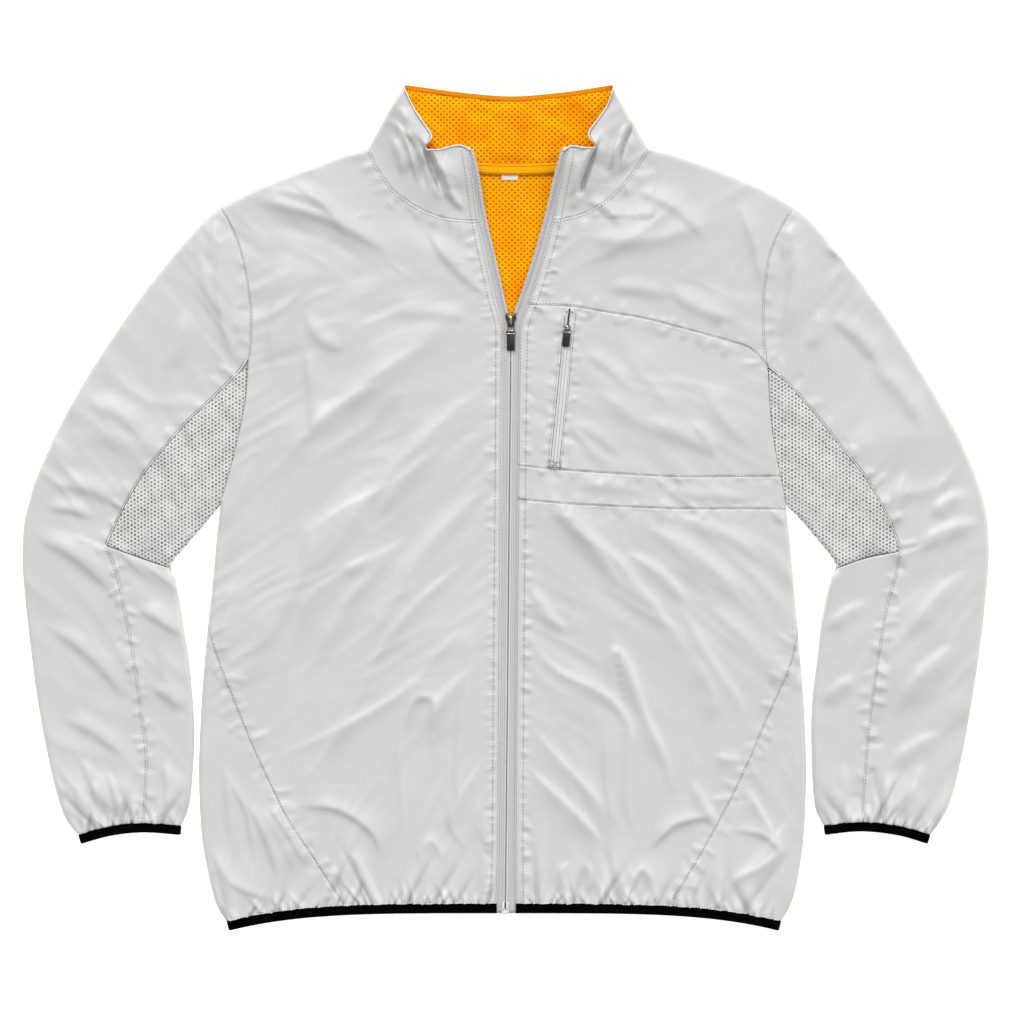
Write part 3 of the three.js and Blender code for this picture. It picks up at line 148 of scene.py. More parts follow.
COLLAR_SIDE = [
    (-132, 341, 134.5, 341), (-128, 348.5, 130, 348.5), (-118, 367.5, 119.5, 367.5),
    (-107.5, 386.5, 109, 386.5), (-97, 401.5, 100.5, 401.5),
]
COLLAR_TOP = [
    (-97, 401.5, 100.5, 401.5), (-97, 396, 101, 396), (-87.5, 376, 94.5, 379),
    (-76.5, 360, 85, 365.5), (-71.5, 352, 78, 355.5), (-73, 347, 78.5, 349),
    (-78, 341, 84, 342.5), (-74, 337.5, 80, 339), (-66, 337.5, 68, 341),
    (-54, 341, 62, 341.7), (-44, 342.5, 59, 341.5), (-36.5, 339, 56.5, 339),
]

# Seams on the wearer's left front only.
YOKE_SEAM = [
    (21, 192), (59.5, 190.5), (90, 185.5), (129, 179), (168, 169), (206.5, 158.5), (232, 149.5),
    (247.4, 133),
]
BAND_UPPER = [(10, 39), (51.5, 35), (109, 31), (158, 28.5), (206.5, 28.5), (260, 29)]
BAND_LOWER = [(10, 7), (61, 2.5), (119.5, -0.5), (168, -2), (216.5, -2), (265.5, -2.5)]
COLLAR_BACK_TOP = [
    (-97, 401.5), (-68.5, 397.5), (-37, 393.5), (5, 390.5), (50.5, 394), (79, 398), (100.5, 401.5),
]
BACK_NECK = [
    (-132, 341), (-70, 327), (-30, 322), (8, 320.5), (45, 322), (80, 327), (134.5, 341),
]

# Large folds, as in the frame: start, end, bow, half width, height, and how much sharper one
# flank is than the other.
FOLDS = [
    (-251, 292, -102, 233, 12, 10, 4.5, 0.3), (-233, 271, -128, 227, 8, 9, -2.0, 0),
    (-199, 253, -216, 113, -14, 12, 3.5, 0.3), (-64, 163, -239, 14, -10, 15, 4.5, 0.3),
    (-14, 121, -197, -88, -14, 17, 5.0, 0.35), (-35, 197, -168, 102, 8, 14, 3.0, 0),
    (-16, 35, -154, -174, -10, 15, 4.5, 0.3), (-121, 35, -265, -202, -16, 18, 4.5, 0.2),
    (-239, -278, -197, -354, 4, 10, 3.5, 0.2), (24, 28, 183, -155, 8, 13, 5.0, -0.35),
    (124, -16, 234, -109, 14, 13, 4.5, -0.3), (183, -88, 269, -183, 8, 13, 3.5, -0.2),
    (74, 121, 183, 54, -6, 14, 3.5, 0.2), (107, 159, 174, 83, -6, 13, 2.5, 0.2),
    (183, 121, 236, 54, -5, 11, 2.5, 0.2), (65, 258, 202, 277, -14, 13, 4.0, 0.2),
    (55, 225, 183, 311, -10, 13, 3.0, 0.2), (217, 292, 243, 197, 6, 9, 3.5, 0.2),
    (-268, 268, -254, 130, -12, 9, 4.5, 0.3), (-425, 64, -301, 35, 14, 20, 3.0, 0),
    (-425, -60, -339, -212, 14, 18, 3.0, 0.2), (-330, -80, -312, -200, -6, 12, 2.5, 0.2),
    (-400, -259, -372, -296, 4, 9, 2.5, 0.2), (268, 268, 254, 152, 10, 9, 4.5, 0.3),
    (425, 64, 301, 35, -14, 20, 3.0, 0), (420, -60, 350, -212, -14, 18, 3.0, 0.2),
    (322, -90, 300, -200, 6, 12, 2.5, 0.2), (395, -259, 365, -296, -4, 9, 2.5, 0.2),
    (-79, 341, -62, 294, 0, 6, -5.0, 0.3), (-90, 358, -68, 287, 9, 9, 4.0, 0.3),
    (-57, 338, -48, 290, -4, 7, 2.5, 0.2), (84, 342, 66, 294, 0, 6, -5.0, 0.3),
    (95, 360, 78, 290, -9, 9, 4.0, 0.3), (62, 338, 58, 290, 4, 6, 2.5, 0.2),
]

# Folds that bend more than once, over the hem: their points, half width, height and lean.
BENT_FOLDS = [
    ([(-206, -285), (-163, -286), (-127, -310), (-119, -342)], 6.5, 4.6, 0.35),
    ([(-97, -318), (-102, -231), (-92, -190), (-79, -180), (-69, -190), (-73, -231), (-84, -270)],
     5.5, 4.0, 0.2),
    ([(-33, -112), (-44, -202), (-48, -262), (-40, -318)], 6.0, 3.4, 0.3),
    ([(-16, -231), (-40, -268), (-54, -300), (-34, -330)], 5.5, 3.4, 0.3),
    ([(-79, -346), (-82, -328), (-73, -317), (-64, -327), (-63, -342)], 4.0, 2.6, 0.1),
    ([(-16, -33), (-87, -93), (-125, -141), (-149, -193), (-178, -240), (-212, -282)], 8, 4.2, 0.4),
    ([(-64, 54), (-111, 21), (-180, -18), (-194, -60), (-230, -126), (-268, -142)], 9, 3.2, 0.35),
    ([(-16, -93), (-64, -136), (-97, -174), (-170, -216), (-232, -242)], 7.5, 3.2, 0.35),
    ([(-111, -31), (-159, -65), (-192, -93), (-230, -202)], 8, 2.6, 0.35),
    ([(-284, -318), (-262, -356), (-215, -376)], 5.5, 3.4, 0.3),
    ([(-230, -278), (-206, -312), (-186, -350)], 6.0, 3.0, 0.3),
    ([(-268, -252), (-246, -292), (-240, -340)], 5.5, 2.8, 0.3),
    ([(98, -184), (97, -150), (104, -136), (114, -150), (129, -193), (150, -240), (163, -284)],
     6.5, 4.6, -0.3),
    ([(15, -114), (44, -152), (84, -172), (104, -188), (117, -215), (114, -278), (124, -322)],
     6.0, 4.2, -0.3),
    ([(98, -190), (94, -240), (98, -300), (92, -330)], 5.5, 3.2, 0.2),
    ([(15, -243), (50, -276), (78, -304), (96, -330)], 6.5, 4.4, -0.35),
    ([(19, -205), (50, -240), (86, -280), (92, -312)], 6.5, 3.4, -0.3),
    ([(132, -330), (155, -304), (178, -296), (198, -294)], 6.0, 4.2, 0.3),
    ([(205, -307), (240, -310), (257, -326), (236, -344), (205, -356)], 5.0, 3.4, 0.2),
    ([(224, -262), (242, -292), (257, -322)], 6.0, 3.2, -0.3),
    ([(272, -292), (240, -334), (199, -370)], 6.0, 3.2, 0.3),
    ([(174, -256), (186, -280), (200, -306)], 6.5, 3.4, -0.3),
    ([(196, -236), (212, -240), (226, -240)], 6.0, 2.6, -0.2),
    ([(162, -88), (193, -145), (221, -186), (226, -216)], 9, 3.6, -0.35),
    ([(174, -136), (196, -180), (190, -214)], 8, 3.0, -0.3),
    ([(117, -368), (121, -352), (129, -344), (136, -352), (139, -368)], 3.6, 3.2, 0.0),
    ([(60, -335), (51, -348), (57, -368)], 3.6, 2.8, 0.2),
    ([(-152, -326), (-140, -342), (-146, -366)], 4.0, 2.8, 0.2),
    ([(70, -330), (80, -352), (74, -370)], 4.0, 2.6, -0.2),
]

# Finer creases between the large folds, in the columns of the large folds.
CREASES = [
    (-229, 300, -160, 278, 6, 5, 1.2, 0.3), (-212, 312, -148, 252, 8, 6, 1.3, 0.3),
    (-76, 265, -19, 202, -5, 7, 1.8, 0.3), (-120, 180, -30, 175, 8, 8, 1.4, 0.2),
    (-190, 190, -150, 150, -12, 7, 1.6, 0.3), (-196, 160, -186, 60, 6, 7, 1.7, 0.3),
    (-110, 120, -200, 60, -8, 8, 1.6, 0.3), (-60, 60, -130, -20, -6, 8, 1.8, 0.3),
    (-90, -26, -170, -60, 8, 7, 1.5, 0.3), (-100, -40, -190, -170, -14, 8, 2.2, 0.3),
    (-30, -150, -90, -230, -6, 7, 1.9, 0.3), (-20, -290, -28, -365, 2, 5, 1.6, 0.3),
    (-250, -275, -215, -362, 6, 6, 1.8, 0.3), (-270, -240, -262, -330, 3, 6, 1.5, 0.2),
    (-240, 60, -262, -60, -6, 8, 1.5, 0.2), (-255, -60, -270, -150, -4, 7, 1.4, 0.2),
    (20, -70, 60, -122, -4, 7, 1.9, -0.3), (108, -42, 174, -98, 8, 7, 1.8, -0.3),
    (40, 4, 110, -80, 6, 7, 1.7, -0.3), (150, -10, 250, -60, 12, 8, 1.6, -0.3),
    (63, 20, 130, 12, 4, 6, 0.9, 0.2), (150, 16, 240, 10, -3, 6, 0.9, 0.2),
    (130, 82, 200, 44, 6, 8, 1.5, 0.2), (60, 80, 110, 46, 4, 7, 1.2, 0.2),
    (172, 82, 199, 45, 4, 6, 1.4, 0.3), (70, 150, 120, 108, 4, 7, 1.4, 0.2),
    (150, 210, 228, 180, -8, 8, 1.5, 0.2), (90, 205, 160, 198, 6, 7, 1.2, 0.2),
    (120, 300, 190, 250, 10, 7, 1.5, 0.3), (70, 290, 110, 262, 8, 6, 1.3, 0.3),
    (-279, 276, -285, 232, 4, 6, 1.6, 0.3), (-290, 240, -262, 175, -8, 7, 1.8, 0.3),
    (-307, 190, -328, 127, 6, 9, 1.6, 0.2), (-398, 98, -346, 66, 8, 10, 1.8, 0.2),
    (-435, 20, -360, -5, 10, 9, 2.0, 0.3), (-440, -2, -390, -12, 5, 6, 1.6, 0.3),
    (-450, -28, -372, -86, 10, 9, 2.4, 0.3), (-440, -112, -360, -185, 10, 9, 2.2, 0.3),
    (-355, -95, -306, -125, 4, 7, 1.8, 0.3), (-338, -170, -306, -196, 4, 7, 1.6, 0.3),
    (-425, -200, -360, -240, 6, 8, 1.7, 0.3), (-405, -239, -385, -294, 3, 5, 1.6, 0.3),
    (-380, -250, -368, -297, 3, 5, 1.6, 0.3), (-325, -240, -322, -296, 2, 5, 1.5, 0.3),
    (280, 275, 261, 231, -4, 6, 1.8, 0.3), (299, 244, 326, 229, 5, 6, 1.6, 0.3),
    (296, 190, 280, 150, 6, 7, 1.6, 0.3), (303, 181, 358, 127, 8, 9, 2.0, 0.3),
    (340, 140, 396, 69, 8, 10, 1.8, 0.2), (382, 38, 367, -30, -5, 8, 2.0, 0.3),
    (440, 13, 400, -12, -6, 7, 2.0, 0.3), (453, -15, 387, -43, -8, 8, 2.4, 0.3),
    (440, -60, 380, -130, -8, 9, 2.0, 0.3), (430, -130, 365, -200, -8, 9, 2.0, 0.3),
    (345, -90, 300, -120, -4, 7, 1.7, 0.3), (335, -160, 296, -190, -4, 7, 1.5, 0.3),
    (415, -215, 360, -250, -5, 8, 1.6, 0.3), (398, -240, 378, -294, -3, 5, 1.6, 0.3),
    (370, -250, 356, -296, -3, 5, 1.6, 0.3), (318, -240, 315, -296, 2, 5, 1.5, 0.3),
    (-86, 352, -59, 288, 3, 2.3, -2.6, 0.0), (-80, 350, -53, 290, 4, 3.2, 2.4, 0.2),
    (-101, 358, -78, 300, 5, 2.8, -2.0, 0.0), (-109, 368, -86, 306, 6, 4.0, 2.0, 0.2),
    (91, 352, 68, 288, -3, 2.3, -2.6, 0.0), (84, 350, 61, 290, -3, 3.2, 2.4, 0.2),
    (124, 370, 106, 318, -4, 2.6, -2.2, 0.0), (117, 366, 99, 320, -4, 3.6, 1.8, 0.2),
    (-104, 380, -92, 340, 5, 6, 1.8, 0.3), (-112, 352, -100, 312, 5, 6, 1.6, 0.3),
    (-60, 300, -42, 280, 3, 5, 1.2, 0.2), (112, 352, 100, 312, -5, 6, 1.6, 0.3),
    (123, 358, 108, 314, -4, 5, 1.6, 0.3), (74, 300, 60, 280, -3, 5, 1.2, 0.2),
]


def flat_catmull(points, steps=6):
    """A curve through the points, evenly blended, as short straight steps."""
    p = np.asarray(points, float)
    out = []
    for i in range(len(p) - 1):
        p0, p1, p2, p3 = p[max(i - 1, 0)], p[i], p[i + 1], p[min(i + 2, len(p) - 1)]
        v0, v1 = (p2 - p0) / 2, (p3 - p1) / 2
        for k in range(steps):
            t = k / steps
            a = (2 * p1 - 2 * p2 + v0 + v1) * t**3
            out.append(a + (-3 * p1 + 3 * p2 - 2 * v0 - v1) * t**2 + v0 * t + p1)
    out.append(p[-1])
    return np.array(out)


class Line:
    """A flat line of short steps that can be walked by the share of its length."""

    def __init__(self, points):
        self.p = np.asarray(points, float)
        self.run = np.concatenate([[0], np.cumsum(np.hypot(*np.diff(self.p, axis=0).T))])
        self.length = float(self.run[-1])

    def at(self, share):
        """The points at shares of the length."""
        along = np.clip(share, 0, 1) * self.length
        return np.stack([np.interp(along, self.run, self.p[:, k]) for k in (0, 1)], -1)

    def nearest(self, x, y):
        """Distance, share of the length, side and direction of travel at the nearest point."""
        x, y = np.asarray(x, float).ravel(), np.asarray(y, float).ravel()
        a, d = self.p[:-1], np.diff(self.p, axis=0)
        long2 = np.maximum((d**2).sum(1), 1e-12)
        out = [np.empty(len(x)) for _ in range(5)]
        for start in range(0, len(x), 4096):
            part = slice(start, start + 4096)
            ax = x[part, None] - a[None, :, 0]
            ay = y[part, None] - a[None, :, 1]
            t = np.clip((ax * d[:, 0] + ay * d[:, 1]) / long2, 0, 1)
            far = np.hypot(ax - t * d[:, 0], ay - t * d[:, 1])
            best = far.argmin(1)
            rows = np.arange(len(best))
            long = np.sqrt(long2[best])
            out[0][part] = far[rows, best]
            out[1][part] = (self.run[best] + t[rows, best] * long) / self.length
            cross = d[best, 0] * ay[rows, best] - d[best, 1] * ax[rows, best]
            out[2][part] = np.sign(cross)
            out[3][part] = d[best, 0] / long
            out[4][part] = d[best, 1] / long
        return out

    def share_of(self, point):
        """The share of the length nearest to a point."""
        return float(self.nearest([point[0]], [point[1]])[1][0])

    def reversed(self):
        """The same line walked from its other end."""
        return Line(self.p[::-1])

    def between(self, a, b):
        """The stretch from the point nearest to a to the point nearest to b."""
        start, end = self.share_of(a), self.share_of(b)
        if start > end:
            return self.between(b, a).reversed()
        shares = self.run / self.length
        inside = self.p[(shares > start + 1e-6) & (shares < end - 1e-6)]
        return Line(np.vstack([self.at(start), inside, self.at(end)]))

    def tied(self, first=None, last=None):
        """The same line with its ends moved onto the lines they meet."""
        p = self.p.copy()
        if first:
            p[0] = first.at(first.share_of(p[0]))
        if last:
            p[-1] = last.at(last.share_of(p[-1]))
        return Line(p)


def joined(*parts):
    """Lines that follow on from each other as one."""
    return Line(np.vstack([parts[0].p] + [q.p[1:] for q in parts[1:]]))


def by_height(rows, side):
    """The line of one side of a table whose rows give a height first."""
    return Line(flat_catmull([(row[1 + side], row[0]) for row in rows]))


def by_point(rows, side):
    """The line of one side of a table whose rows give two points."""
    return Line(flat_catmull([row[2 * side : 2 * side + 2] for row in rows]))


class Half:
    """The lines of one half of the jacket: 0 is the wearer's right and 1 the left."""

    def __init__(self, side):
        self.side = side
        self.outer = by_height(SLEEVE_OUTER, side)
        self.inner = by_height(SLEEVE_INNER, side)
        self.flank = by_height(BODY_SIDE, side)
        self.armhole = by_height(ARMHOLE, side)
        self.front = by_height(FRONT_EDGE, side)
        self.meeting = by_height(ZIP_MEETING, side)
        self.shoulder = by_height(SHOULDER, side)
        self.cuff = by_point(CUFF_TOP, side)
        self.neck = by_point(NECK_SEAM, side).tied(None, self.front)
        self.mesh = by_point(MESH_SEAM, side).tied(self.armhole)
        self.under = by_point(UNDERSLEEVE_SEAM, side).tied(None, self.cuff)
        self.crease = by_point(ELBOW_CREASE, side).tied(self.outer, self.inner)
        self.flank_seam = by_point(SIDE_SEAM, side).tied(None, self.flank)
        self.collar_side = by_point(COLLAR_SIDE, side)
        self.collar_top = by_point(COLLAR_TOP, side)


RIGHT, LEFT = Half(0), Half(1)
HALVES = (RIGHT, LEFT)
YOKE = Line(flat_catmull(YOKE_SEAM)).tied(LEFT.front, LEFT.armhole)
UPPER = Line(flat_catmull(BAND_UPPER)).tied(LEFT.front, LEFT.armhole)
LOWER = Line(flat_catmull(BAND_LOWER)).tied(LEFT.front, LEFT.flank)
NECK_BACK = Line(flat_catmull(BACK_NECK))
COLLAR_EDGE = Line(flat_catmull(COLLAR_BACK_TOP))


def hem_height(x):
    """Where the shell's hem runs: level in the middle, and lower towards the sides."""
    return -376.5 - 17.0 * np.abs((np.asarray(x, float) + 3) / 264) ** 4


def hem_line(x0, x1):
    """The shell's hem from one place across the garment to another."""
    x = np.linspace(x0, x1, max(2, int(abs(x1 - x0) / 4)))
    return Line(np.stack([x, hem_height(x)], -1))


def ease(t):
    """A soft step from 0 to 1."""
    t = np.clip(t, 0, 1)
    return t * t * (3 - 2 * t)


FOLDED = [
    line for h in HALVES for line in (h.shoulder, h.outer, h.inner, h.flank, h.collar_side)
]


def from_fold(x, y):
    """How far in each point lies from the nearest folded edge."""
    far = np.full(x.shape, 1e3)
    for line in FOLDED:
        lo, hi = line.p.min(0) - ROLL - 1, line.p.max(0) + ROLL + 1
        near = (x > lo[0]) & (x < hi[0]) & (y > lo[1]) & (y < hi[1])
        if near.any():
            far[near] = np.minimum(far[near], line.nearest(x[near], y[near])[0])
    return far


def bent(row):
    """The curved line of a fold that has a start, an end and a bow."""
    x0, y0, x1, y1, bow = row[:5]
    a, b = np.array([x0, y0], float), np.array([x1, y1], float)
    across = np.array([a[1] - b[1], b[0] - a[0]]) / max(np.hypot(*(b - a)), 1e-6)
    mid = (a + b) / 2 + 2 * bow * across
    t = np.linspace(0, 1, 9)[:, None]
    return Line((1 - t) ** 2 * a + 2 * t * (1 - t) * mid + t**2 * b)


def ridge_height(rows, x, y, crisp=False):
    """Adds up ridges that taper to nothing at both ends; a crisp one has a narrow crest."""
    total = np.zeros(x.shape)
    for row in rows:
        line = Line(flat_catmull(row[0], 5)) if len(row) == 4 else bent(row)
        wide, high, lean = row[-3:]
        lo, hi = line.p.min(0) - 3 * wide, line.p.max(0) + 3 * wide
        near = (x > lo[0]) & (x < hi[0]) & (y > lo[1]) & (y < hi[1])
        if not near.any():
            continue
        far, share, side = line.nearest(x[near], y[near])[:3]
        taper = ease(2.8 * np.minimum(share, 1 - share))
        if crisp:
            width = 1.35 * wide * (1 + 1.5 * side * lean) * (0.5 + 0.5 * taper)
        else:
            width = wide * (1 + side * lean) * (0.5 + 0.5 * taper)
        slope = far / width
        if crisp:
            # The root rounds the crest off; further out the flanks fall away like a cone's.
            total[near] += high * taper * np.exp(-1.6 * (np.sqrt(slope**2 + 0.06) - 0.245))
        else:
            total[near] += high * taper * np.exp(-(slope**2))
    return total


def smooth_noise(x, y, seed):
    """Smooth random heights from 0 to 1, one cell to a unit, the same on each run."""
    table = np.random.default_rng(seed).random((61, 67))
    i, j = np.floor(x).astype(int), np.floor(y).astype(int)
    u, v = ease(x - i), ease(y - j)
    near = table[i % 61, j % 67] * (1 - u) + table[(i + 1) % 61, j % 67] * u
    far = table[i % 61, (j + 1) % 67] * (1 - u) + table[(i + 1) % 61, (j + 1) % 67] * u
    return near * (1 - v) + far * v


def creased(x, y, degrees, wide, long, seed):
    """Heights from 0 to 1 of creases with narrow crests, which run at one angle."""
    c, s = math.cos(math.radians(degrees)), math.sin(math.radians(degrees))
    along, across = x * c + y * s, y * c - x * s
    sway = smooth_noise(along / 70 + 5, across / 55 + 8, seed + 1) - 0.5
    n = smooth_noise(along / long + 11, (across + 1.5 * wide * sway) / wide + 7, seed)
    return 1 - np.sqrt((2 * n - 1) ** 2 + 0.015)


ARMHOLE_Y = [-400, -20] + [row[0] for row in ARMHOLE]
ARMHOLE_X = [288, 286] + [-row[1] for row in ARMHOLE]


def crumple(x, y):
    """The shell's smaller creases: they fan out from the zip, and turn upright at the hem."""
    out, side = np.abs(x), np.where(x < 0, 40, 0)
    sleeve = ease((out - np.interp(y, ARMHOLE_Y, ARMHOLE_X) + 8) / 26)
    yoke = ease((y - 190) / 60)
    chest = ease((y - 40) / 120) * (1 - yoke)
    low = ease((-150 - y) / 130)
    total = np.zeros(x.shape)
    for degrees, share, seed in (
        (22, yoke * (1 - sleeve), 101), (-33, chest * (1 - sleeve), 111),
        (-50, (1 - yoke - chest - low) * (1 - sleeve), 121), (-82, low * (1 - sleeve), 131),
        (38, sleeve, 141),
    ):
        mine = share > 0.001
        if not mine.any():
            continue
        a, b = out[mine] + 13.7 * side[mine], y[mine] + 5.3 * side[mine]
        big = creased(a, b, degrees, 30, 110, seed)
        small = creased(a, b, degrees + 14, 13, 46, seed + 4)
        busy = 0.35 + 1.1 * smooth_noise(a / 75, b / 75, seed + 7)
        total[mine] += share[mine] * busy * (2.2 * big + 1.15 * small)
    return total * np.where(x < 0, 1.0, 0.85)


def edge_puckers(line, seed, count, reach, high, wide, turn):
    """Rows for short creases that run out from a sewn line to one side of it."""
    rng = np.random.default_rng(seed)
    rows = []
    for k in range(count):
        share = (k + rng.uniform(0.1, 0.9)) / count
        a = line.at(share)
        d = line.at(min(share + 0.01, 1)) - line.at(max(share - 0.01, 0))
        d = d / max(np.hypot(*d), 1e-6)
        angle = math.radians(90 + rng.uniform(-38, 38)) * turn
        way = np.array([
            d[0] * math.cos(angle) - d[1] * math.sin(angle),
            d[0] * math.sin(angle) + d[1] * math.cos(angle),
        ])
        long = reach * rng.uniform(0.5, 1.5)
        rows.append((
            *(a - way * 3), *(a + way * long), rng.uniform(-0.12, 0.12) * long,
            wide * rng.uniform(0.7, 1.4),
            high * rng.uniform(0.5, 1.2) * (1 if rng.random() > 0.25 else -0.7), 0.2,
        ))
    return rows


def beside(line, off):
    """A line parallel to another, off to the left of its direction of travel."""
    d = np.gradient(line.p, axis=0)
    d /= np.maximum(np.hypot(d[:, 0], d[:, 1])[:, None], 1e-9)
    return Line(line.p + off * np.stack([-d[:, 1], d[:, 0]], -1))


POCKET_TOP, POCKET_END = (59.5, 189.0), (45.17, 37.5)
POCKET_SIDES = [
    Line([(POCKET_TOP[0] + by, POCKET_TOP[1] - 4), (POCKET_END[0] + by, POCKET_END[1])])
    for by in (-6.0, 6.0)
]
RIGHT_ROW, LEFT_ROW = beside(RIGHT.front, 5.5), beside(LEFT.front, -6.5)
# Puckered seams: the line, its seed, how many, reach, height, half width and the side they
# are on.
PUCKERED = [
    (POCKET_SIDES[0], 41, 30, 7, 0.55, 1.9, -1),
    (POCKET_SIDES[1], 42, 24, 10, 0.6, 2.1, 1),
    (RIGHT_ROW.between((-16, -370), (-12, 170)), 11, 84, 9, 0.5, 2.1, 1),
    (LEFT_ROW.between((16, -370), (19, 0)), 12, 58, 9, 0.5, 2.1, -1),
    (LEFT_ROW.between((19, 50), (21, 180)), 13, 20, 8, 0.5, 2.1, -1),
    (RIGHT_ROW.between((-13, 178), (-34, 270)), 14, 14, 12, 0.55, 2.3, 1),
    (LEFT_ROW.between((23, 180), (50, 268)), 15, 14, 12, 0.55, 2.3, -1),
    (RIGHT.flank_seam, 16, 22, 16, 0.6, 3.2, -1), (RIGHT.flank_seam, 17, 20, 14, 0.5, 3.0, 1),
    (LEFT.flank_seam, 18, 22, 16, 0.6, 3.2, 1), (LEFT.flank_seam, 19, 20, 14, 0.5, 3.0, -1),
    (YOKE, 20, 20, 16, 0.7, 3.2, -1), (YOKE, 21, 18, 12, 0.5, 3.0, 1),
    (UPPER, 22, 22, 9, 0.55, 3.0, -1), (LOWER, 23, 22, 14, 0.6, 3.2, -1),
    (LOWER, 24, 20, 9, 0.45, 3.0, 1), (RIGHT.armhole, 25, 18, 14, 0.5, 3.2, 1),
    (LEFT.armhole, 26, 18, 14, 0.5, 3.2, -1), (RIGHT.mesh, 27, 14, 16, 0.7, 3.4, -1),
    (LEFT.mesh, 28, 14, 16, 0.7, 3.4, 1), (RIGHT.under, 29, 17, 14, 0.7, 3.2, -1),
    (RIGHT.under, 30, 15, 11, 0.6, 3.0, 1), (LEFT.under, 31, 17, 14, 0.7, 3.2, 1),
    (LEFT.under, 32, 15, 11, 0.6, 3.0, -1), (RIGHT.neck, 33, 14, 14, 0.6, 3.2, -1),
    (LEFT.neck, 34, 14, 14, 0.6, 3.2, 1),
]
PUCKERS = [row for seam in PUCKERED for row in edge_puckers(*seam)]


def gathers(seed, start, end, step, long, wide, high, lean, gap=None):
    """Gathers that elastic draws up: place, length, half width, height and lean of each."""
    rng = np.random.default_rng(seed)
    rows = []
    at = start
    while at < end:
        if gap is None or not gap[0] < at < gap[1]:
            rows.append((at, rng.uniform(*long), rng.uniform(*wide), rng.uniform(*high),
                         rng.uniform(-lean, lean)))
        at += rng.uniform(*step)
    return rows


ZIP_GAP = (-14, 12)
HEM_GATHERS = (
    gathers(5, -262, 258, (4.5, 10.5), (6, 17), (1.5, 2.4), (1.8, 4.2), 0.75, ZIP_GAP)
    + gathers(6, -258, 254, (15, 34), (22, 56), (3.4, 5.8), (2.6, 5.0), 0.6, ZIP_GAP)
)
CUFF_GATHERS = {
    h.side: gathers(7 + h.side, 3, h.cuff.length - 3, (4.0, 8.0), (6, 16), (1.5, 2.3),
                    (1.6, 3.6), 0.6)
    + gathers(9 + h.side, 8, h.cuff.length - 8, (11, 19), (22, 46), (3.0, 5.0),
              (2.4, 4.6), 0.4)
    for h in HALVES
}
POCKET_SLIDER = (57.5, 170.0)


def gather_height(rows, along, up):
    """Height of the gathers: each is a fold with a valley beside it, and fades upwards."""
    total = np.zeros(along.shape)
    for at, long, wide, high, lean in rows:
        width = wide * (1 + 0.8 * up / long)
        far = (along - at - lean * up) / width
        fold = np.exp(-(far**2)) - 0.55 * np.exp(-((2.4 * (far - math.copysign(1.35, lean))) ** 2))
        total += high * fold * np.exp(-((up / long) ** 2))
    return total


# How much of each table's relief the shell shows: large folds on its right front, elsewhere and
# on the collar, then finer creases, bent folds and puckers beside them.
RIGHT_FOLDS, OTHER_FOLDS, COLLAR_FOLDS = 0.75, 0.9, 1.35
CREASE_SHARE, BENT_SHARE, PUCKER_SHARE = 1.75, 0.95, 2.1
CRUMPLE_MEAN = 1.2


def cloth_height(x, y):
    """Height of the upper layer over the floor, before it turns over at a folded edge."""
    h = np.full(x.shape, LAYERS)
    fine = np.ones(x.shape)
    for half in HALVES:
        mine = (x < 0) if half.side == 0 else (x >= 0)
        sleeve = mine & ((np.abs(x) > 296) | ((y < 0) & (np.abs(x) > 293)))
        low = sleeve & (y < -200)
        if low.any():
            far, share = half.cuff.nearest(x[low], y[low])[:2]
            h[low] -= (LAYERS - BOUND) * (1 - ease(far / 30))
            h[low] += gather_height(CUFF_GATHERS[half.side], share * half.cuff.length, far)
        body = mine & ~sleeve
        low = body & (y < -260)
        if low.any():
            up = np.maximum(y[low] - hem_height(x[low]), 0)
            h[low] -= (LAYERS - BOUND) * (1 - ease(up / 36))
            clear = ease((np.abs(x[low] - 1) - 11) / 10)
            h[low] += clear * gather_height(HEM_GATHERS, x[low], up)
        near = body & (np.abs(x) < 100)
        if near.any():
            far = half.front.nearest(x[near], y[near])[0]
            fine[near] *= ease(far / 22)
        if half.side == 1:
            pocket = Line([POCKET_TOP, POCKET_END])
            near = body & (x < 100) & (y > 20) & (y < 215)
            if near.any():
                far = pocket.nearest(x[near], y[near])[0]
                fine[near] *= ease((far - 5.5) / 12)
        collar = mine & (y > 270) & (np.abs(x) < 140)
        if collar.any():
            far, _, turn = half.neck.nearest(x[collar], y[collar])[:3]
            above = turn == (1 if half.side == 0 else -1)
            h[collar] += np.where(above, COLLAR_RISE * ease(far / 60), 0)
    large = np.where((x < 0) & (np.abs(x) < 290) & (y < 230), RIGHT_FOLDS, OTHER_FOLDS)
    large = np.where((y > 275) & (np.abs(x) < 140), COLLAR_FOLDS, large)
    h += fine * large * (
        ridge_height(FOLDS, x, y, True) + CREASE_SHARE * ridge_height(CREASES, x, y)
        + BENT_SHARE * ridge_height(BENT_FOLDS, x, y, True))
    h += (0.12 + 0.88 * fine) * (crumple(x, y) - CRUMPLE_MEAN)
    h += PUCKER_SHARE * ridge_height(PUCKERS, x, y)
    return np.maximum(h, LEAST)


def crease_side(half, x, y):
    """Distance above the elbow's crease, less than nothing below it."""
    far, _, turn = half.crease.nearest(x, y)[:3]
    below = turn == (-1 if half.side == 0 else 1)
    return np.where(below, -far, far)


def outer_sleeve_height(half):
    """The outer sleeve stands up where it folds over the elbow."""

    def height(x, y):
        above = crease_side(half, x, y)
        step = 1 - ease((above + 5) / 5)
        near_seam = np.exp(-half.under.nearest(x, y)[0] / 22)
        fade = np.exp(np.minimum(above, 0) / 22)
        return cloth_height(x, y) + 2.6 * step * near_seam * fade

    return height


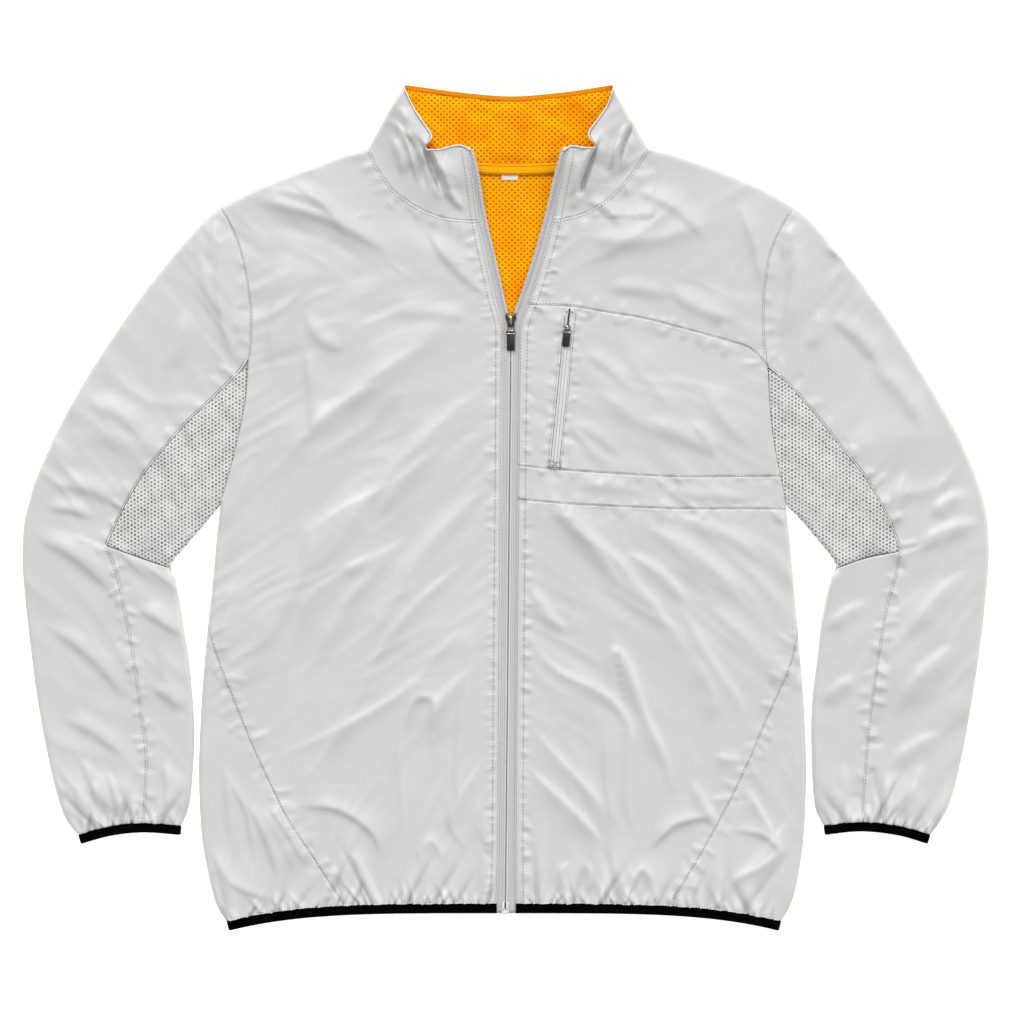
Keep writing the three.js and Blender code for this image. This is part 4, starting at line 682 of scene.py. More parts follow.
def under_sleeve_height(half):
    """The under sleeve stands up at the elbow's fold."""

    def height(x, y):
        return cloth_height(x, y) + 2.6 * np.exp(-np.abs(crease_side(half, x, y)) / 22)

    return height


def mesh_height(half):
    """The underarm mesh lies slack: shallow pulls run across it from seam to seam."""

    def height(x, y):
        hole = half.armhole.nearest(x, y)[0]
        pull = 0.5 * np.sin((x * (1 if half.side else -1) + 1.5 * y) / 9.0)
        pull += 3.0 * creased(np.abs(x), y, 70, 17, 90, 171)
        dip = 3.2 * np.exp(-half.crease.nearest(x, y)[0] / 7)
        return cloth_height(x, y) - 2 * (1 - ease(hole / 30)) + pull * ease(hole / 14) - dip

    return height


def toward_edges(length, coarse, left, right):
    """Shares across a length that crowd together towards rolled and sewn edges."""
    steps = {
        "roll": [0.15, 0.5, 1.1, 2.0, 3.2, 4.6, 6.2],
        "seam": [0.3, 0.65, 1.05, 1.6, 2.4, 3.6, 5.2],
        "plain": [],
    }
    head = [0.0] + [d for d in steps[left] if d < length / 2.2]
    tail = [length] + [length - d for d in steps[right] if d < length / 2.2]
    inner = tail[-1] - head[-1]
    count = max(1, round(inner / coarse))
    middle = [head[-1] + inner * (k + 1) / count for k in range(count - 1)]
    return np.array(head + middle + tail[::-1]) / length


def untangled(p, passes=900):
    """Eases a four-sided grid between its fixed edges, over a fixed number of passes, so that its
    cells untangle.
    """
    for _ in range(passes):
        east, west, north, south = p[1:-1, 2:], p[1:-1, :-2], p[2:, 1:-1], p[:-2, 1:-1]
        du, dv = (east - west) / 2, (north - south) / 2
        a, c = (dv**2).sum(-1, keepdims=True), (du**2).sum(-1, keepdims=True)
        b = (du * dv).sum(-1, keepdims=True)
        cross = (p[2:, 2:] - p[2:, :-2] - p[:-2, 2:] + p[:-2, :-2]) / 4
        p[1:-1, 1:-1] = (a * (east + west) + c * (north + south) - 2 * b * cross) / (
            2 * (a + c) + 1e-9)
    return p


class Panel:
    """A four-sided cut, blended from its edges, with the kind of each edge."""

    def __init__(self, bottom, top, left, right, kinds, height=None, coarse=3.0, down=False,
                 turns_back=False, fan=False):
        self.bottom, self.top, self.left, self.right = bottom, top, left, right
        self.turns_back = turns_back
        self.kinds = kinds
        self.height = height
        self.down = down
        self.wide = (bottom.length + top.length) / 2
        self.long = (left.length + right.length) / 2
        # A cut that fans out keeps its spacing at its wider end.
        most = max(bottom.length, top.length) if fan else self.wide
        self.u = toward_edges(max(most, 12), coarse, kinds["left"], kinds["right"])
        self.v = toward_edges(max(self.long, 12), coarse, kinds["bottom"], kinds["top"])

    def eased(self, steps=45):
        """The flat grid where an edge turns back on itself: blended evenly, then untangled."""
        even = np.linspace(0, 1, steps)
        p = untangled(self.blended(even, even))
        row, column = self.v * (steps - 1), self.u * (steps - 1)
        i, j = np.minimum(row.astype(int), steps - 2), np.minimum(column.astype(int), steps - 2)
        s, t = (row - i)[:, None, None], (column - j)[None, :, None]
        low = p[i][:, j] * (1 - t) + p[i][:, j + 1] * t
        high = p[i + 1][:, j] * (1 - t) + p[i + 1][:, j + 1] * t
        return low * (1 - s) + high * s

    def flat(self):
        """The grid on the floor plan, in millimetres."""
        return self.eased() if self.turns_back else self.blended(self.u, self.v)

    def blended(self, across, along):
        """A grid of points blended from the four edges, at the shares given."""
        u, v = across[None, :, None], along[:, None, None]
        low, high = self.bottom.at(across)[None], self.top.at(across)[None]
        left, right = self.left.at(along)[:, None], self.right.at(along)[:, None]
        corners = (1 - u) * (1 - v) * low[:, :1] + u * (1 - v) * low[:, -1:]
        corners = corners + (1 - u) * v * high[:, :1] + u * v * high[:, -1:]
        return (1 - u) * left + u * right + (1 - v) * low + v * high - corners

    def points(self):
        """The outer face in millimetres, drawn in and turned down a little at each seam."""
        p = self.flat()
        rows, columns = p.shape[:2]
        x, y = p[..., 0].ravel(), p[..., 1].ravel()
        far = from_fold(x, y)
        cos = np.maximum(0, 1 - far / ROLL)
        sin = np.sqrt(1 - cos**2)
        if self.down:
            z = MIDDLE * (1 - sin)
        else:
            z = MIDDLE + (self.height(x, y) - MIDDLE) * sin
        edge = {
            "left": np.broadcast_to((self.u * self.wide)[None, :], (rows, columns)),
            "right": np.broadcast_to(((1 - self.u) * self.wide)[None, :], (rows, columns)),
            "bottom": np.broadcast_to((self.v * self.long)[:, None], (rows, columns)),
            "top": np.broadcast_to(((1 - self.v) * self.long)[:, None], (rows, columns)),
        }
        turn = np.zeros(p.shape[:2])
        for name, kind in self.kinds.items():
            if kind == "seam":
                turn = np.maximum(turn, np.exp(-((edge[name] / SEAM_WIDE) ** 2)))
        drop = SEAM_DROP * turn.ravel() * sin
        z = z + drop if self.down else z - drop
        return np.stack([x, y, z], -1).reshape(rows, columns, 3)


def grid_mesh(name, points, wrap=False, across=None):
    """A mesh of a grid of points in millimetres; wrap closes the columns into a ring."""
    rows, columns = points.shape[:2]
    bm = bmesh.new()
    bmesh.ops.create_grid(bm, x_segments=columns - 1, y_segments=rows - 1, size=1)
    mesh = bpy.data.meshes.new(name)
    bm.to_mesh(mesh)
    bm.free()
    at = np.empty(len(mesh.vertices) * 3)
    mesh.vertices.foreach_get("co", at)
    at = at.reshape(-1, 3)
    column = np.rint((at[:, 0] + 1) / 2 * (columns - 1)).astype(int)
    row = np.rint((at[:, 1] + 1) / 2 * (rows - 1)).astype(int)
    placed = points[row, column] + np.array([SHIFT[0], SHIFT[1], 0])
    mesh.vertices.foreach_set("co", (placed * MM).ravel())
    mesh.update()
    if across is not None:
        kept = mesh.attributes.new("across", "FLOAT", "POINT")
        kept.data.foreach_set("value", np.ascontiguousarray(across[row, column], dtype=float))
    if wrap:
        bm = bmesh.new()
        bm.from_mesh(mesh)
        bmesh.ops.remove_doubles(bm, verts=bm.verts, dist=1e-6)
        bmesh.ops.recalc_face_normals(bm, faces=bm.faces)
        bm.to_mesh(mesh)
        bm.free()
    mesh.polygons.foreach_set("use_smooth", [True] * len(mesh.polygons))
    return mesh


def facing(points):
    """The sum of the grid's turns seen from above: more than nothing if it faces up."""
    a = points[:-1, :-1]
    u, v = points[:-1, 1:] - a, points[1:, :-1] - a
    return float((u[..., 0] * v[..., 1] - u[..., 1] * v[..., 0]).sum())


def run_length(points):
    """The mean length of the grid's rows, in millimetres."""
    return float(np.linalg.norm(np.diff(points, axis=1), axis=-1).sum(1).mean())


def put(name, mesh, materials, body=JACKET, nodes=()):
    """Links a piece, and says what it rides on and which nodes it takes the place of."""
    piece = bpy.data.objects.new(name, mesh)
    bpy.context.scene.collection.objects.link(piece)
    for material in materials:
        mesh.materials.append(material)
    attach(piece, body)
    if nodes:
        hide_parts(*nodes)
    return piece


def cloth(name, points, materials, slot, nodes=(), thick=0.8, down=False, rests_on=(),
          inner=None, across=None):
    """A thin sheet of cloth on a grid of points, with its wall on the inner side."""
    mesh = grid_mesh(name, points, across=across)
    if (facing(points) > 0) == down:
        mesh.flip_normals()
    piece = put(name, mesh, materials, nodes=nodes)
    wall = piece.modifiers.new("Wall", "SOLIDIFY")
    wall.thickness = thick * MM
    wall.offset = -1
    wall.thickness_clamp = 1.5
    if inner is not None:
        wall.material_offset = inner
    # The grid's mean column length, in metres, no less than the least cut.
    long = max(run_length(points.transpose(1, 0, 2)) * MM, LEAST_CUT)
    return piece


def linear(code):
    """A hex sRGB colour as linear red, green and blue."""
    parts = [int(code[i : i + 2], 16) / 255 for i in (1, 3, 5)]
    return tuple(c / 12.92 if c <= 0.04045 else ((c + 0.055) / 1.055) ** 2.4 for c in parts)


def add(tree, kind, inputs=None, **settings):
    """Adds a node with its settings, and links or sets its inputs."""
    node = tree.nodes.new(kind)
    for key, value in settings.items():
        setattr(node, key, value)
    for key, value in (inputs or {}).items():
        if isinstance(value, bpy.types.NodeSocket):
            tree.links.new(value, node.inputs[key])
        else:
            node.inputs[key].default_value = value
    return node


def finish(name, **sockets):
    """A new material with one Principled shader and its plain settings."""
    material = bpy.data.materials.new(name)
    material.use_nodes = True
    tree = material.node_tree
    shader = tree.nodes["Principled BSDF"]
    for key, value in sockets.items():
        colour = isinstance(value, tuple)
        shader.inputs[key.replace("_", " ")].default_value = (*value, 1) if colour else value
    return material, tree, shader


def blend(tree, low, high, factor):
    """Two colours blended by a factor."""
    mix = add(tree, "ShaderNodeMix", data_type="RGBA")
    mix.inputs[6].default_value = (*low, 1)
    mix.inputs[7].default_value = (*high, 1)
    tree.links.new(factor, mix.inputs[0])
    return mix.outputs[2]


def dots(tree, row, column, hole, wobble=0.0, packed=False):
    """1 in the holes of a staggered mesh: its repeat along a row and a column, and a hole, in mm.
    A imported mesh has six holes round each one."""
    place = add(tree, "ShaderNodeTexCoord").outputs["Object"]
    if wobble:
        noise = add(tree, "ShaderNodeTexNoise", {"Vector": place, "Scale": 140.0, "Detail": 2.0})
        shift = add(tree, "ShaderNodeVectorMath", {0: noise.outputs["Color"], 1: (0.5, 0.5, 0.5)},
                    operation="SUBTRACT")
        shift = add(tree, "ShaderNodeVectorMath", {0: shift.outputs[0], "Scale": wobble * MM},
                    operation="SCALE")
        place = add(tree, "ShaderNodeVectorMath", {0: place, 1: shift.outputs[0]},
                    operation="ADD").outputs[0]
    turns = (2 * math.pi / (row * MM), 2 * math.pi / (column * MM), 1)
    scaled = add(tree, "ShaderNodeVectorMath", {0: place, 1: turns}, operation="MULTIPLY")
    axes = add(tree, "ShaderNodeSeparateXYZ", {0: scaled.outputs[0]})
    waves = [add(tree, "ShaderNodeMath", {0: axes.outputs[i]}, operation="COSINE") for i in (0, 1)]
    other = waves[1].outputs[0]
    if packed:
        other = add(tree, "ShaderNodeMath", {0: waves[0].outputs[0], 1: other}, operation="ADD")
        other = add(tree, "ShaderNodeMath", {0: other.outputs[0], 1: 0.5},
                    operation="MULTIPLY").outputs[0]
    both = add(tree, "ShaderNodeMath", {0: waves[0].outputs[0], 1: other}, operation="MULTIPLY")
    steep = (math.pi * hole / column) ** 2 / (4 if packed else 2)
    edge = [1 - steep * part**2 for part in (1.15, 0.6)]
    inside = add(tree, "ShaderNodeMapRange",
                 {"Value": both.outputs[0], "From Min": edge[0], "From Max": edge[1]},
                 interpolation_type="SMOOTHSTEP")
    return inside.outputs[0], place


def bump(tree, shader, height, distance, strength, normal=None):
    """Gives the shader a relief, a distance in metres deep, on top of another if there is one."""
    inputs = {"Height": height, "Distance": distance, "Strength": strength}
    if normal is not None:
        inputs["Normal"] = normal
    out = add(tree, "ShaderNodeBump", inputs).outputs[0]
    tree.links.new(out, shader.inputs["Normal"])
    return out


def shell_material(colour, shade, roughness):
    """Calendered polyester taffeta: a close flat weave pressed smooth, so folds gleam softly."""
    material, tree, shader = finish(
        "polyester_taffeta_calendered", Base_Color=colour, Roughness=roughness, IOR=1.5,
        Specular_IOR_Level=0.52, Sheen_Weight=0.08, Sheen_Roughness=0.4)
    place = add(tree, "ShaderNodeTexCoord").outputs["Object"]
    cloud = add(tree, "ShaderNodeTexNoise", {"Vector": place, "Scale": 22.0, "Detail": 3.0})
    tree.links.new(blend(tree, colour, shade, cloud.outputs["Fac"]), shader.inputs["Base Color"])
    # Threads are 0.1 mm apart, too fine to show, so the weave is a faint grain at 0.9 mm.
    grain = add(tree, "ShaderNodeTexNoise", {"Vector": place, "Scale": 1100.0, "Detail": 1.0})
    first = bump(tree, shader, grain.outputs["Fac"], 0.00008, 0.35)
    crush = add(tree, "ShaderNodeTexNoise", {"Vector": place, "Scale": 75.0, "Detail": 4.0,
                                              "Roughness": 0.55, "Distortion": 0.6})
    bump(tree, shader, crush.outputs["Fac"], 0.0006, 0.5, first)
    return material


def lining_material(colour, hole):
    """Warp-knitted tricot mesh, dyed orange: matt, soft, with small round holes. The holes are
    painted dark orange as the shade seen through them, and deeper orange clouds laid at random
    stand for painted light and shade in its wrinkles.
    """
    material, tree, shader = finish("polyester_tricot_mesh_orange", Roughness=0.9,
                                     Specular_IOR_Level=0.08)
    mask, place = dots(tree, 5.87, 5.3, 1.8, 0.4)
    cloud = add(tree, "ShaderNodeTexNoise", {"Vector": place, "Scale": 38.0, "Detail": 3.0})
    cloud = add(tree, "ShaderNodeMapRange", {"Value": cloud.outputs["Fac"], "From Min": 0.35,
                                              "From Max": 0.65})
    # Deeper orange clouds at random: painted light and shade of the lining's wrinkles.
    deep = (colour[0], colour[1] * 0.72, colour[2])
    base = blend(tree, colour, deep, cloud.outputs[0])
    # The holes take a dark orange: painted shade seen through them.
    mix = add(tree, "ShaderNodeMix", {0: mask}, data_type="RGBA")
    tree.links.new(base, mix.inputs[6])
    mix.inputs[7].default_value = (*hole, 1)
    tree.links.new(mix.outputs[2], shader.inputs["Base Color"])
    low = add(tree, "ShaderNodeMath", {0: 1.0, 1: mask}, operation="SUBTRACT")
    bump(tree, shader, low.outputs[0], 0.0006, 0.7)
    return material


def underarm_material(colour, hole):
    """Open warp-knitted mesh in off-white, for air under the arm; its holes are painted dark as the
    shade seen through them, darker in some patches than in others.
    """
    material, tree, shader = finish("polyester_spacer_mesh_offwhite", Roughness=0.75,
                                     Sheen_Weight=0.2, Sheen_Roughness=0.5)
    mask, place = dots(tree, 6.4, 3.7, 1.9, 1.3, packed=True)
    # Noise sets how dark each patch of holes is painted: painted shade.
    patch = add(tree, "ShaderNodeTexNoise", {"Vector": place, "Scale": 180.0, "Detail": 3.0})
    depth = add(tree, "ShaderNodeMapRange", {"Value": patch.outputs["Fac"], "From Min": 0.35,
                                              "From Max": 0.65, "To Min": 0.4, "To Max": 1.0})
    seen = add(tree, "ShaderNodeMath", {0: mask, 1: depth.outputs[0]}, operation="MULTIPLY")
    tree.links.new(blend(tree, colour, hole, seen.outputs[0]), shader.inputs["Base Color"])
    low = add(tree, "ShaderNodeMath", {0: 1.0, 1: mask}, operation="SUBTRACT")
    bump(tree, shader, low.outputs[0], 0.0008, 0.8)
    return material


def elastic_material(colour):
    """Covered elastic, woven with ribs across it: near black and matt, with fine even lines, where
    each rib's groove is painted darker as painted shade.
    """
    material, tree, shader = finish("polyester_elastic_black", Base_Color=colour,
                                     Roughness=0.62, Specular_IOR_Level=0.03)
    place = add(tree, "ShaderNodeTexCoord").outputs["Object"]
    axes = add(tree, "ShaderNodeSeparateXYZ", {0: place})
    wave = add(tree, "ShaderNodeMath", {0: axes.outputs[0], 1: 2 * math.pi / (ELASTIC_RIB * MM)},
               operation="MULTIPLY")
    wave = add(tree, "ShaderNodeMath", {0: wave.outputs[0]}, operation="SINE")
    part = add(tree, "ShaderNodeMapRange", {"Value": wave.outputs[0], "From Min": -1.0})
    # The grooves between the ribs are darkened: painted shade.
    shade = tuple(c * 0.4 for c in colour)
    tree.links.new(blend(tree, shade, colour, part.outputs[0]), shader.inputs["Base Color"])
    bump(tree, shader, part.outputs[0], 0.18 * MM, 0.8)
    return material


def tape_material(colour, coil):
    """Woven polyester tape: fine warp ribs along its length, their grooves painted darker as
    painted shade, with the pale coil at its edge.
    """
    material, tree, shader = finish("polyester_tape_woven", Roughness=0.6,
                                     Specular_IOR_Level=0.3)
    across = add(tree, "ShaderNodeAttribute", attribute_name="across").outputs["Fac"]
    wave = add(tree, "ShaderNodeMath", {0: across, 1: 2 * math.pi / ZIP_RIB}, operation="MULTIPLY")
    wave = add(tree, "ShaderNodeMath", {0: wave.outputs[0]}, operation="COSINE")
    rib = add(tree, "ShaderNodeMapRange", {"Value": wave.outputs[0], "From Min": -1.0,
                                            "From Max": 0.2})
    # The ribs' grooves are darkened: painted shade.
    ribs = blend(tree, tuple(c * 0.74 for c in colour), colour, rib.outputs[0])
    edge = add(tree, "ShaderNodeMapRange", {"Value": across, "From Min": 1.5,
                                             "From Max": COIL_WIDE})
    mix = add(tree, "ShaderNodeMix", {0: edge.outputs[0]}, data_type="RGBA")
    mix.inputs[6].default_value = (*coil, 1)
    tree.links.new(ribs, mix.inputs[7])
    tree.links.new(mix.outputs[2], shader.inputs["Base Color"])
    place = add(tree, "ShaderNodeTexCoord").outputs["Object"]
    weave = add(tree, "ShaderNodeTexNoise", {"Vector": place, "Scale": 1300.0, "Detail": 1.0})
    bump(tree, shader, weave.outputs["Fac"], 0.0001, 0.5)
    return material


def metal_material(colour):
    """Zinc die casting with a black-nickel plate: dark, polished by handling on its edges."""
    material, tree, shader = finish("zinc_black_nickel_plated", Base_Color=colour, Metallic=1.0,
                                     Roughness=0.28)
    place = add(tree, "ShaderNodeTexCoord").outputs["Object"]
    rub = add(tree, "ShaderNodeTexNoise", {"Vector": place, "Scale": 900.0, "Detail": 2.0})
    part = add(tree, "ShaderNodeMapRange", {"Value": rub.outputs["Fac"], "To Min": 0.2,
                                             "To Max": 0.42})
    tree.links.new(part.outputs[0], shader.inputs["Roughness"])
    return material


def plain_material(name, colour, roughness, scale, depth, more):
    """A small trim's finish: fine clouds in its colour, with a relief that follows them."""
    material, tree, shader = finish(name, Base_Color=colour, Roughness=roughness, **more)
    place = add(tree, "ShaderNodeTexCoord").outputs["Object"]
    noise = add(tree, "ShaderNodeTexNoise", {"Vector": place, "Scale": scale, "Detail": 3.0})
    deep = tuple(c * 0.88 for c in colour)
    tree.links.new(blend(tree, deep, colour, noise.outputs["Fac"]), shader.inputs["Base Color"])
    bump(tree, shader, noise.outputs["Fac"], depth * MM, 0.5)
    return material


def colour_property(name, description, code):
    """A colour whose default is given as a hex sRGB code."""
    return bpy.props.FloatVectorProperty(
        name=name, description=description, subtype="COLOR", size=3, min=0, max=1,
        default=linear(code))


def length_property(name, description, default, low, high):
    """A length whose default and limits are given in millimetres."""
    return bpy.props.FloatProperty(
        name=name, description=description, default=default * MM, min=low * MM, max=high * MM,
        unit="LENGTH", precision=5)


class JacketColours(bpy.types.PropertyGroup):
    """Colours of the jacket's cloths and trims."""

    shell: colour_property("Shell", "Face of the shell cloth", "#CFCFCE")
    shell_shade: colour_property("Shell shade", "Slightly deeper clouds in the shell", "#C7C7C6")
    lining: colour_property("Lining", "Orange mesh lining", "#FFB200")
    # The lining's holes are painted dark: painted shade seen through them.
    lining_hole_shade: colour_property("Lining holes", "Dark of the lining's holes", "#BE6200")
    mesh: colour_property("Underarm mesh", "Face of the underarm mesh", "#D9D8D5")
    # The mesh's holes are painted dark: painted shade seen through them.
    mesh_hole_shade: colour_property("Mesh holes", "Dark of the underarm mesh's holes", "#4E4E4A")
    binding: colour_property("Binding", "Elastic at the hem and cuffs", "#020203")
    tape: colour_property("Zip tape", "Woven tape of the zips", "#C6C6C5")
    # The thread is darker than the real thread, so that it also carries the painted shade of the
    # stitch holes and seams.
    thread: colour_property("Thread", "Topstitching thread", "#8A8C8D")
    metal: colour_property("Sliders", "Plated sliders", "#5A5550")
    rubber: colour_property("Pulls", "Moulded pulls", "#1A1C1E")


class JacketSizes(bpy.types.PropertyGroup):
    """Sizes of the jacket's finer make."""

    cloth: length_property("Cloth", "Thickness of the shell", 0.8, 0.3, 1.6)
    grain: length_property("Grid", "Spacing of the points over the cloth", 2.15, 1.5, 10)
    stitch: length_property("Stitch", "Length of a topstitch", 1.8, 1.2, 5)
    stitch_gap: length_property("Stitch gap", "Gap between topstitches", 1.4, 0.3, 3)
    tooth: length_property("Tooth pitch", "Spacing of the zip's teeth", 1.25, 0.8, 3)


def size(key):
    """One of the jacket's sizes, in millimetres."""
    return getattr(bpy.context.scene.jacket_sizes, key) / MM


MATERIALS = {}

# Plain finishes: name, colour or the property that holds it, roughness, scale of the pattern,
# relief in millimetres, and other sockets.
PLAIN = {
    # Knitted strips: matt, so that they read as cloth beside the mesh.
    "edge": ("polyester_knit_binding_orange", "lining", 0.85, 700.0, 0.05,
             {"Specular_IOR_Level": 0.1}),
    "rim": ("polyester_knit_binding_deep", "#F08C00", 0.85, 700.0, 0.05,
            {"Specular_IOR_Level": 0.1}),
    # Spun thread: a soft line with a slight gleam on top of each stitch.
    "deep": ("polyester_thread_orange", "#C86E00", 0.7, 900.0, 0.03, {}),
    # The grey thread is darkened to carry painted shade of its stitch holes.
    "thread": ("polyester_thread_grey", "thread", 0.55, 900.0, 0.03, {}),
    # Dark grey thread also draws the pocket welts' groove lines and the notches in the zip's end
    # box: painted shade.
    "dark": ("polyester_thread_dark_grey", "#6E6A69", 0.6, 900.0, 0.03, {}),
    # Black thread also fills the pocket's open slit and the slot in the zip's end box: painted
    # shade.
    "black": ("polyester_thread_black", "#1C1C1E", 0.7, 900.0, 0.03, {}),
    "cord": ("polyester_filament_blue_grey", "#7488AC", 0.5, 900.0, 0.02, {}),
    # Pressed tape and bound piping: paler and smoother than the shell.
    "welt": ("polyester_tape_calendered", "#DCDCDB", 0.55, 900.0, 0.03, {}),
    "piping": ("polyester_piping_white", "#F1F2F2", 0.5, 900.0, 0.03, {}),
    # Woven satin: a bright tag with a broad sheen.
    "label": ("satin_label_white", "#E4E2DC", 0.45, 1500.0, 0.03, {}),
    # Moulded vinyl: black with a soft highlight along each rib.
    "rubber": ("soft_vinyl_moulded_black", "rubber", 0.42, 1200.0, 0.03, {}),
    # Extruded nylon and moulded acetal: pale, hard and glossy, so that small parts glint.
    "teeth": ("nylon_monofilament_pale", "#E9F0F8", 0.3, 600.0, 0.02, {}),
    "acetal": ("acetal_moulded_white", "#ECEAE3", 0.3, 500.0, 0.02, {}),
    # Nickel plate on zinc: mirror bright, so that bridges and clasps stand out from dark metal;
    # partly a painted highlight, a lit copy of the sliders' dark metal.
    "nickel": ("zinc_nickel_plated", "#C9C6C0", 0.22, 900.0, 0.01, {"Metallic": 1.0}),
}


def make_materials(colours):
    """Makes every material of the jacket, once."""

    def take(key):
        return tuple(getattr(colours, key))

    MATERIALS.update(
        shell=shell_material(take("shell"), take("shell_shade"), 0.4),
        lining=lining_material(take("lining"), take("lining_hole_shade")),
        mesh=underarm_material(take("mesh"), take("mesh_hole_shade")),
        binding=elastic_material(take("binding")),
        tape=tape_material(take("tape"), linear("#D6D6D5")),
        metal=metal_material(take("metal")),
    )
    for key, (name, colour, *finish_of) in PLAIN.items():
        colour = linear(colour) if colour.startswith("#") else take(colour)
        MATERIALS[key] = plain_material(name, colour, *finish_of)


SIDES = ("left", "right", "bottom", "top")
LOOSE = dict.fromkeys(SIDES, "plain")


def seam_kinds(**kinds):
    """The kind of each edge of a panel: sewn, but for those given."""
    return {**dict.fromkeys(SIDES, "seam"), **kinds}


def tip(half):
    """The side panel's narrow top, a little below the end of its seam."""
    end = half.flank_seam.p[-1]
    return Line([half.flank.at(half.flank.share_of(end)) - [0, 0.6],
                 end + [0.5 if half is RIGHT else -0.5, -0.6]])


def side_panel(half, split):
    """The panel between the side seam and the folded side, which fans out to the hem."""
    return Panel(
        hem_line(half.flank.p[0][0], split), tip(half),
        half.flank.between(half.flank.p[0], half.flank_seam.p[-1] - [0, 0.6]),
        half.flank_seam, seam_kinds(left="roll", top="plain"), cloth_height, size("grain"),
        fan=True)


def body_panels():
    """The cuts of both fronts by the names of their nodes."""
    front = dict(coarse=size("grain"), height=cloth_height)
    right_up = joined(
        RIGHT.flank_seam,
        RIGHT.flank.between(RIGHT.flank_seam.p[-1], RIGHT.flank.p[-1]),
        RIGHT.armhole,
    )
    left_low = joined(LEFT.flank_seam, LEFT.flank.between(LEFT.flank_seam.p[-1], LOWER.p[-1]))
    return {
        "front_right": Panel(
            hem_line(-155, -9.5), joined(RIGHT.shoulder, RIGHT.neck), right_up,
            RIGHT.front.between(RIGHT.front.p[0], RIGHT.neck.p[-1]),
            seam_kinds(), **front),
        "front_left_yoke": Panel(
            YOKE, joined(LEFT.neck.reversed(), LEFT.shoulder.reversed()),
            LEFT.front.between(YOKE.p[0], LEFT.neck.p[-1]),
            LEFT.armhole.between(LEFT.mesh.p[0], LEFT.armhole.p[-1]),
            seam_kinds(), **front),
        "front_left_chest": Panel(
            UPPER, YOKE, LEFT.front.between(UPPER.p[0], YOKE.p[0]),
            LEFT.armhole.between(UPPER.p[-1], LEFT.mesh.p[0]),
            seam_kinds(), **front),
        "front_left_band": Panel(
            LOWER, UPPER, LEFT.front.between(LOWER.p[0], UPPER.p[0]),
            joined(LEFT.flank.between(LOWER.p[-1], LEFT.flank.p[-1]),
                   LEFT.armhole.between(LEFT.armhole.p[0], UPPER.p[-1])),
            seam_kinds(), **front),
        "front_left_lower": Panel(
            hem_line(8, 153.5), LOWER, LEFT.front.between(LEFT.front.p[0], LOWER.p[0]), left_low,
            seam_kinds(), **front),
        "side_panel_right": side_panel(RIGHT, -155),
        "side_panel_left": side_panel(LEFT, 153.5),
    }


class JACKET_OT_body(bpy.types.Operator):
    """Cuts the two fronts with their yoke, chest, band and side panels"""

    bl_idname = "jacket.body"
    bl_label = "Fronts and side panels"

    def execute(self, context):
        for name, panel in body_panels().items():
            cloth("shell_" + name, panel.points(), [MATERIALS["shell"]], "shell", nodes=[name],
                  thick=size("cloth"), rests_on=["shell_back"])
        return {"FINISHED"}


class JACKET_OT_sleeves(bpy.types.Operator):
    """Cuts the sleeves: the outer panel, the underarm mesh, the under panel and the back"""

    bl_idname = "jacket.sleeves"
    bl_label = "Sleeves"

    def execute(self, context):
        grain, thick = size("grain"), size("cloth")
        for half in HALVES:
            end = ("right", "left")[half.side]
            mesh_top, elbow = half.mesh.p[0], half.under.p[0]
            inner_elbow, split = half.crease.p[-1], half.under.p[-1]
            panels = {
                "sleeve_outer_": (Panel(
                    half.cuff.between(half.cuff.p[0], split),
                    half.armhole.between(half.armhole.p[-1], mesh_top), half.outer.reversed(),
                    joined(half.mesh, half.under).reversed(), seam_kinds(left="roll"),
                    outer_sleeve_height(half), grain), "shell", "shell"),
                "sleeve_mesh_": (Panel(
                    half.crease.between(elbow, inner_elbow),
                    half.armhole.between(mesh_top, half.armhole.p[0]), half.mesh.reversed(),
                    half.inner.between(inner_elbow, half.inner.p[0]),
                    seam_kinds(right="roll"), mesh_height(half), grain), "mesh", "underarm_mesh"),
                "sleeve_under_": (Panel(
                    half.cuff.between(split, half.cuff.p[-1]),
                    half.crease.between(elbow, inner_elbow), half.under.reversed(),
                    half.inner.between(half.inner.p[-1], inner_elbow),
                    seam_kinds(right="roll"), under_sleeve_height(half), grain), "shell", "shell"),
            }
            for name, (panel, material, slot) in panels.items():
                cloth("shell_" + name + end, panel.points(), [MATERIALS[material]], slot,
                      nodes=[name + end], thick=thick, rests_on=["shell_sleeve_back_" + end])
            back = Panel(half.cuff, half.armhole.reversed(), half.outer.reversed(),
                         half.inner.reversed(), seam_kinds(left="roll", right="roll"),
                         coarse=9, down=True, turns_back=True)
            cloth("shell_sleeve_back_" + end, back.points(), [MATERIALS["shell"]], "shell",
                  nodes=["sleeve_back_" + end], thick=thick, down=True)
        return {"FINISHED"}


class JACKET_OT_back(bpy.types.Operator):
    """Cuts the back, which lies flat under the fronts"""

    bl_idname = "jacket.back"
    bl_label = "Back"

    def execute(self, context):
        panel = Panel(
            hem_line(RIGHT.flank.p[0][0], LEFT.flank.p[0][0]),
            joined(RIGHT.shoulder, NECK_BACK, LEFT.shoulder.reversed()),
            joined(RIGHT.flank, RIGHT.armhole), joined(LEFT.flank, LEFT.armhole),
            seam_kinds(left="roll", right="roll", top="roll"), coarse=10, down=True)
        cloth("shell_back", panel.points(), [MATERIALS["shell"]], "shell", nodes=["back"],
              thick=size("cloth"), down=True)
        return {"FINISHED"}


def raised(line, by):
    """The same line moved up the garment."""
    return Line(line.p + np.array([0, by]))


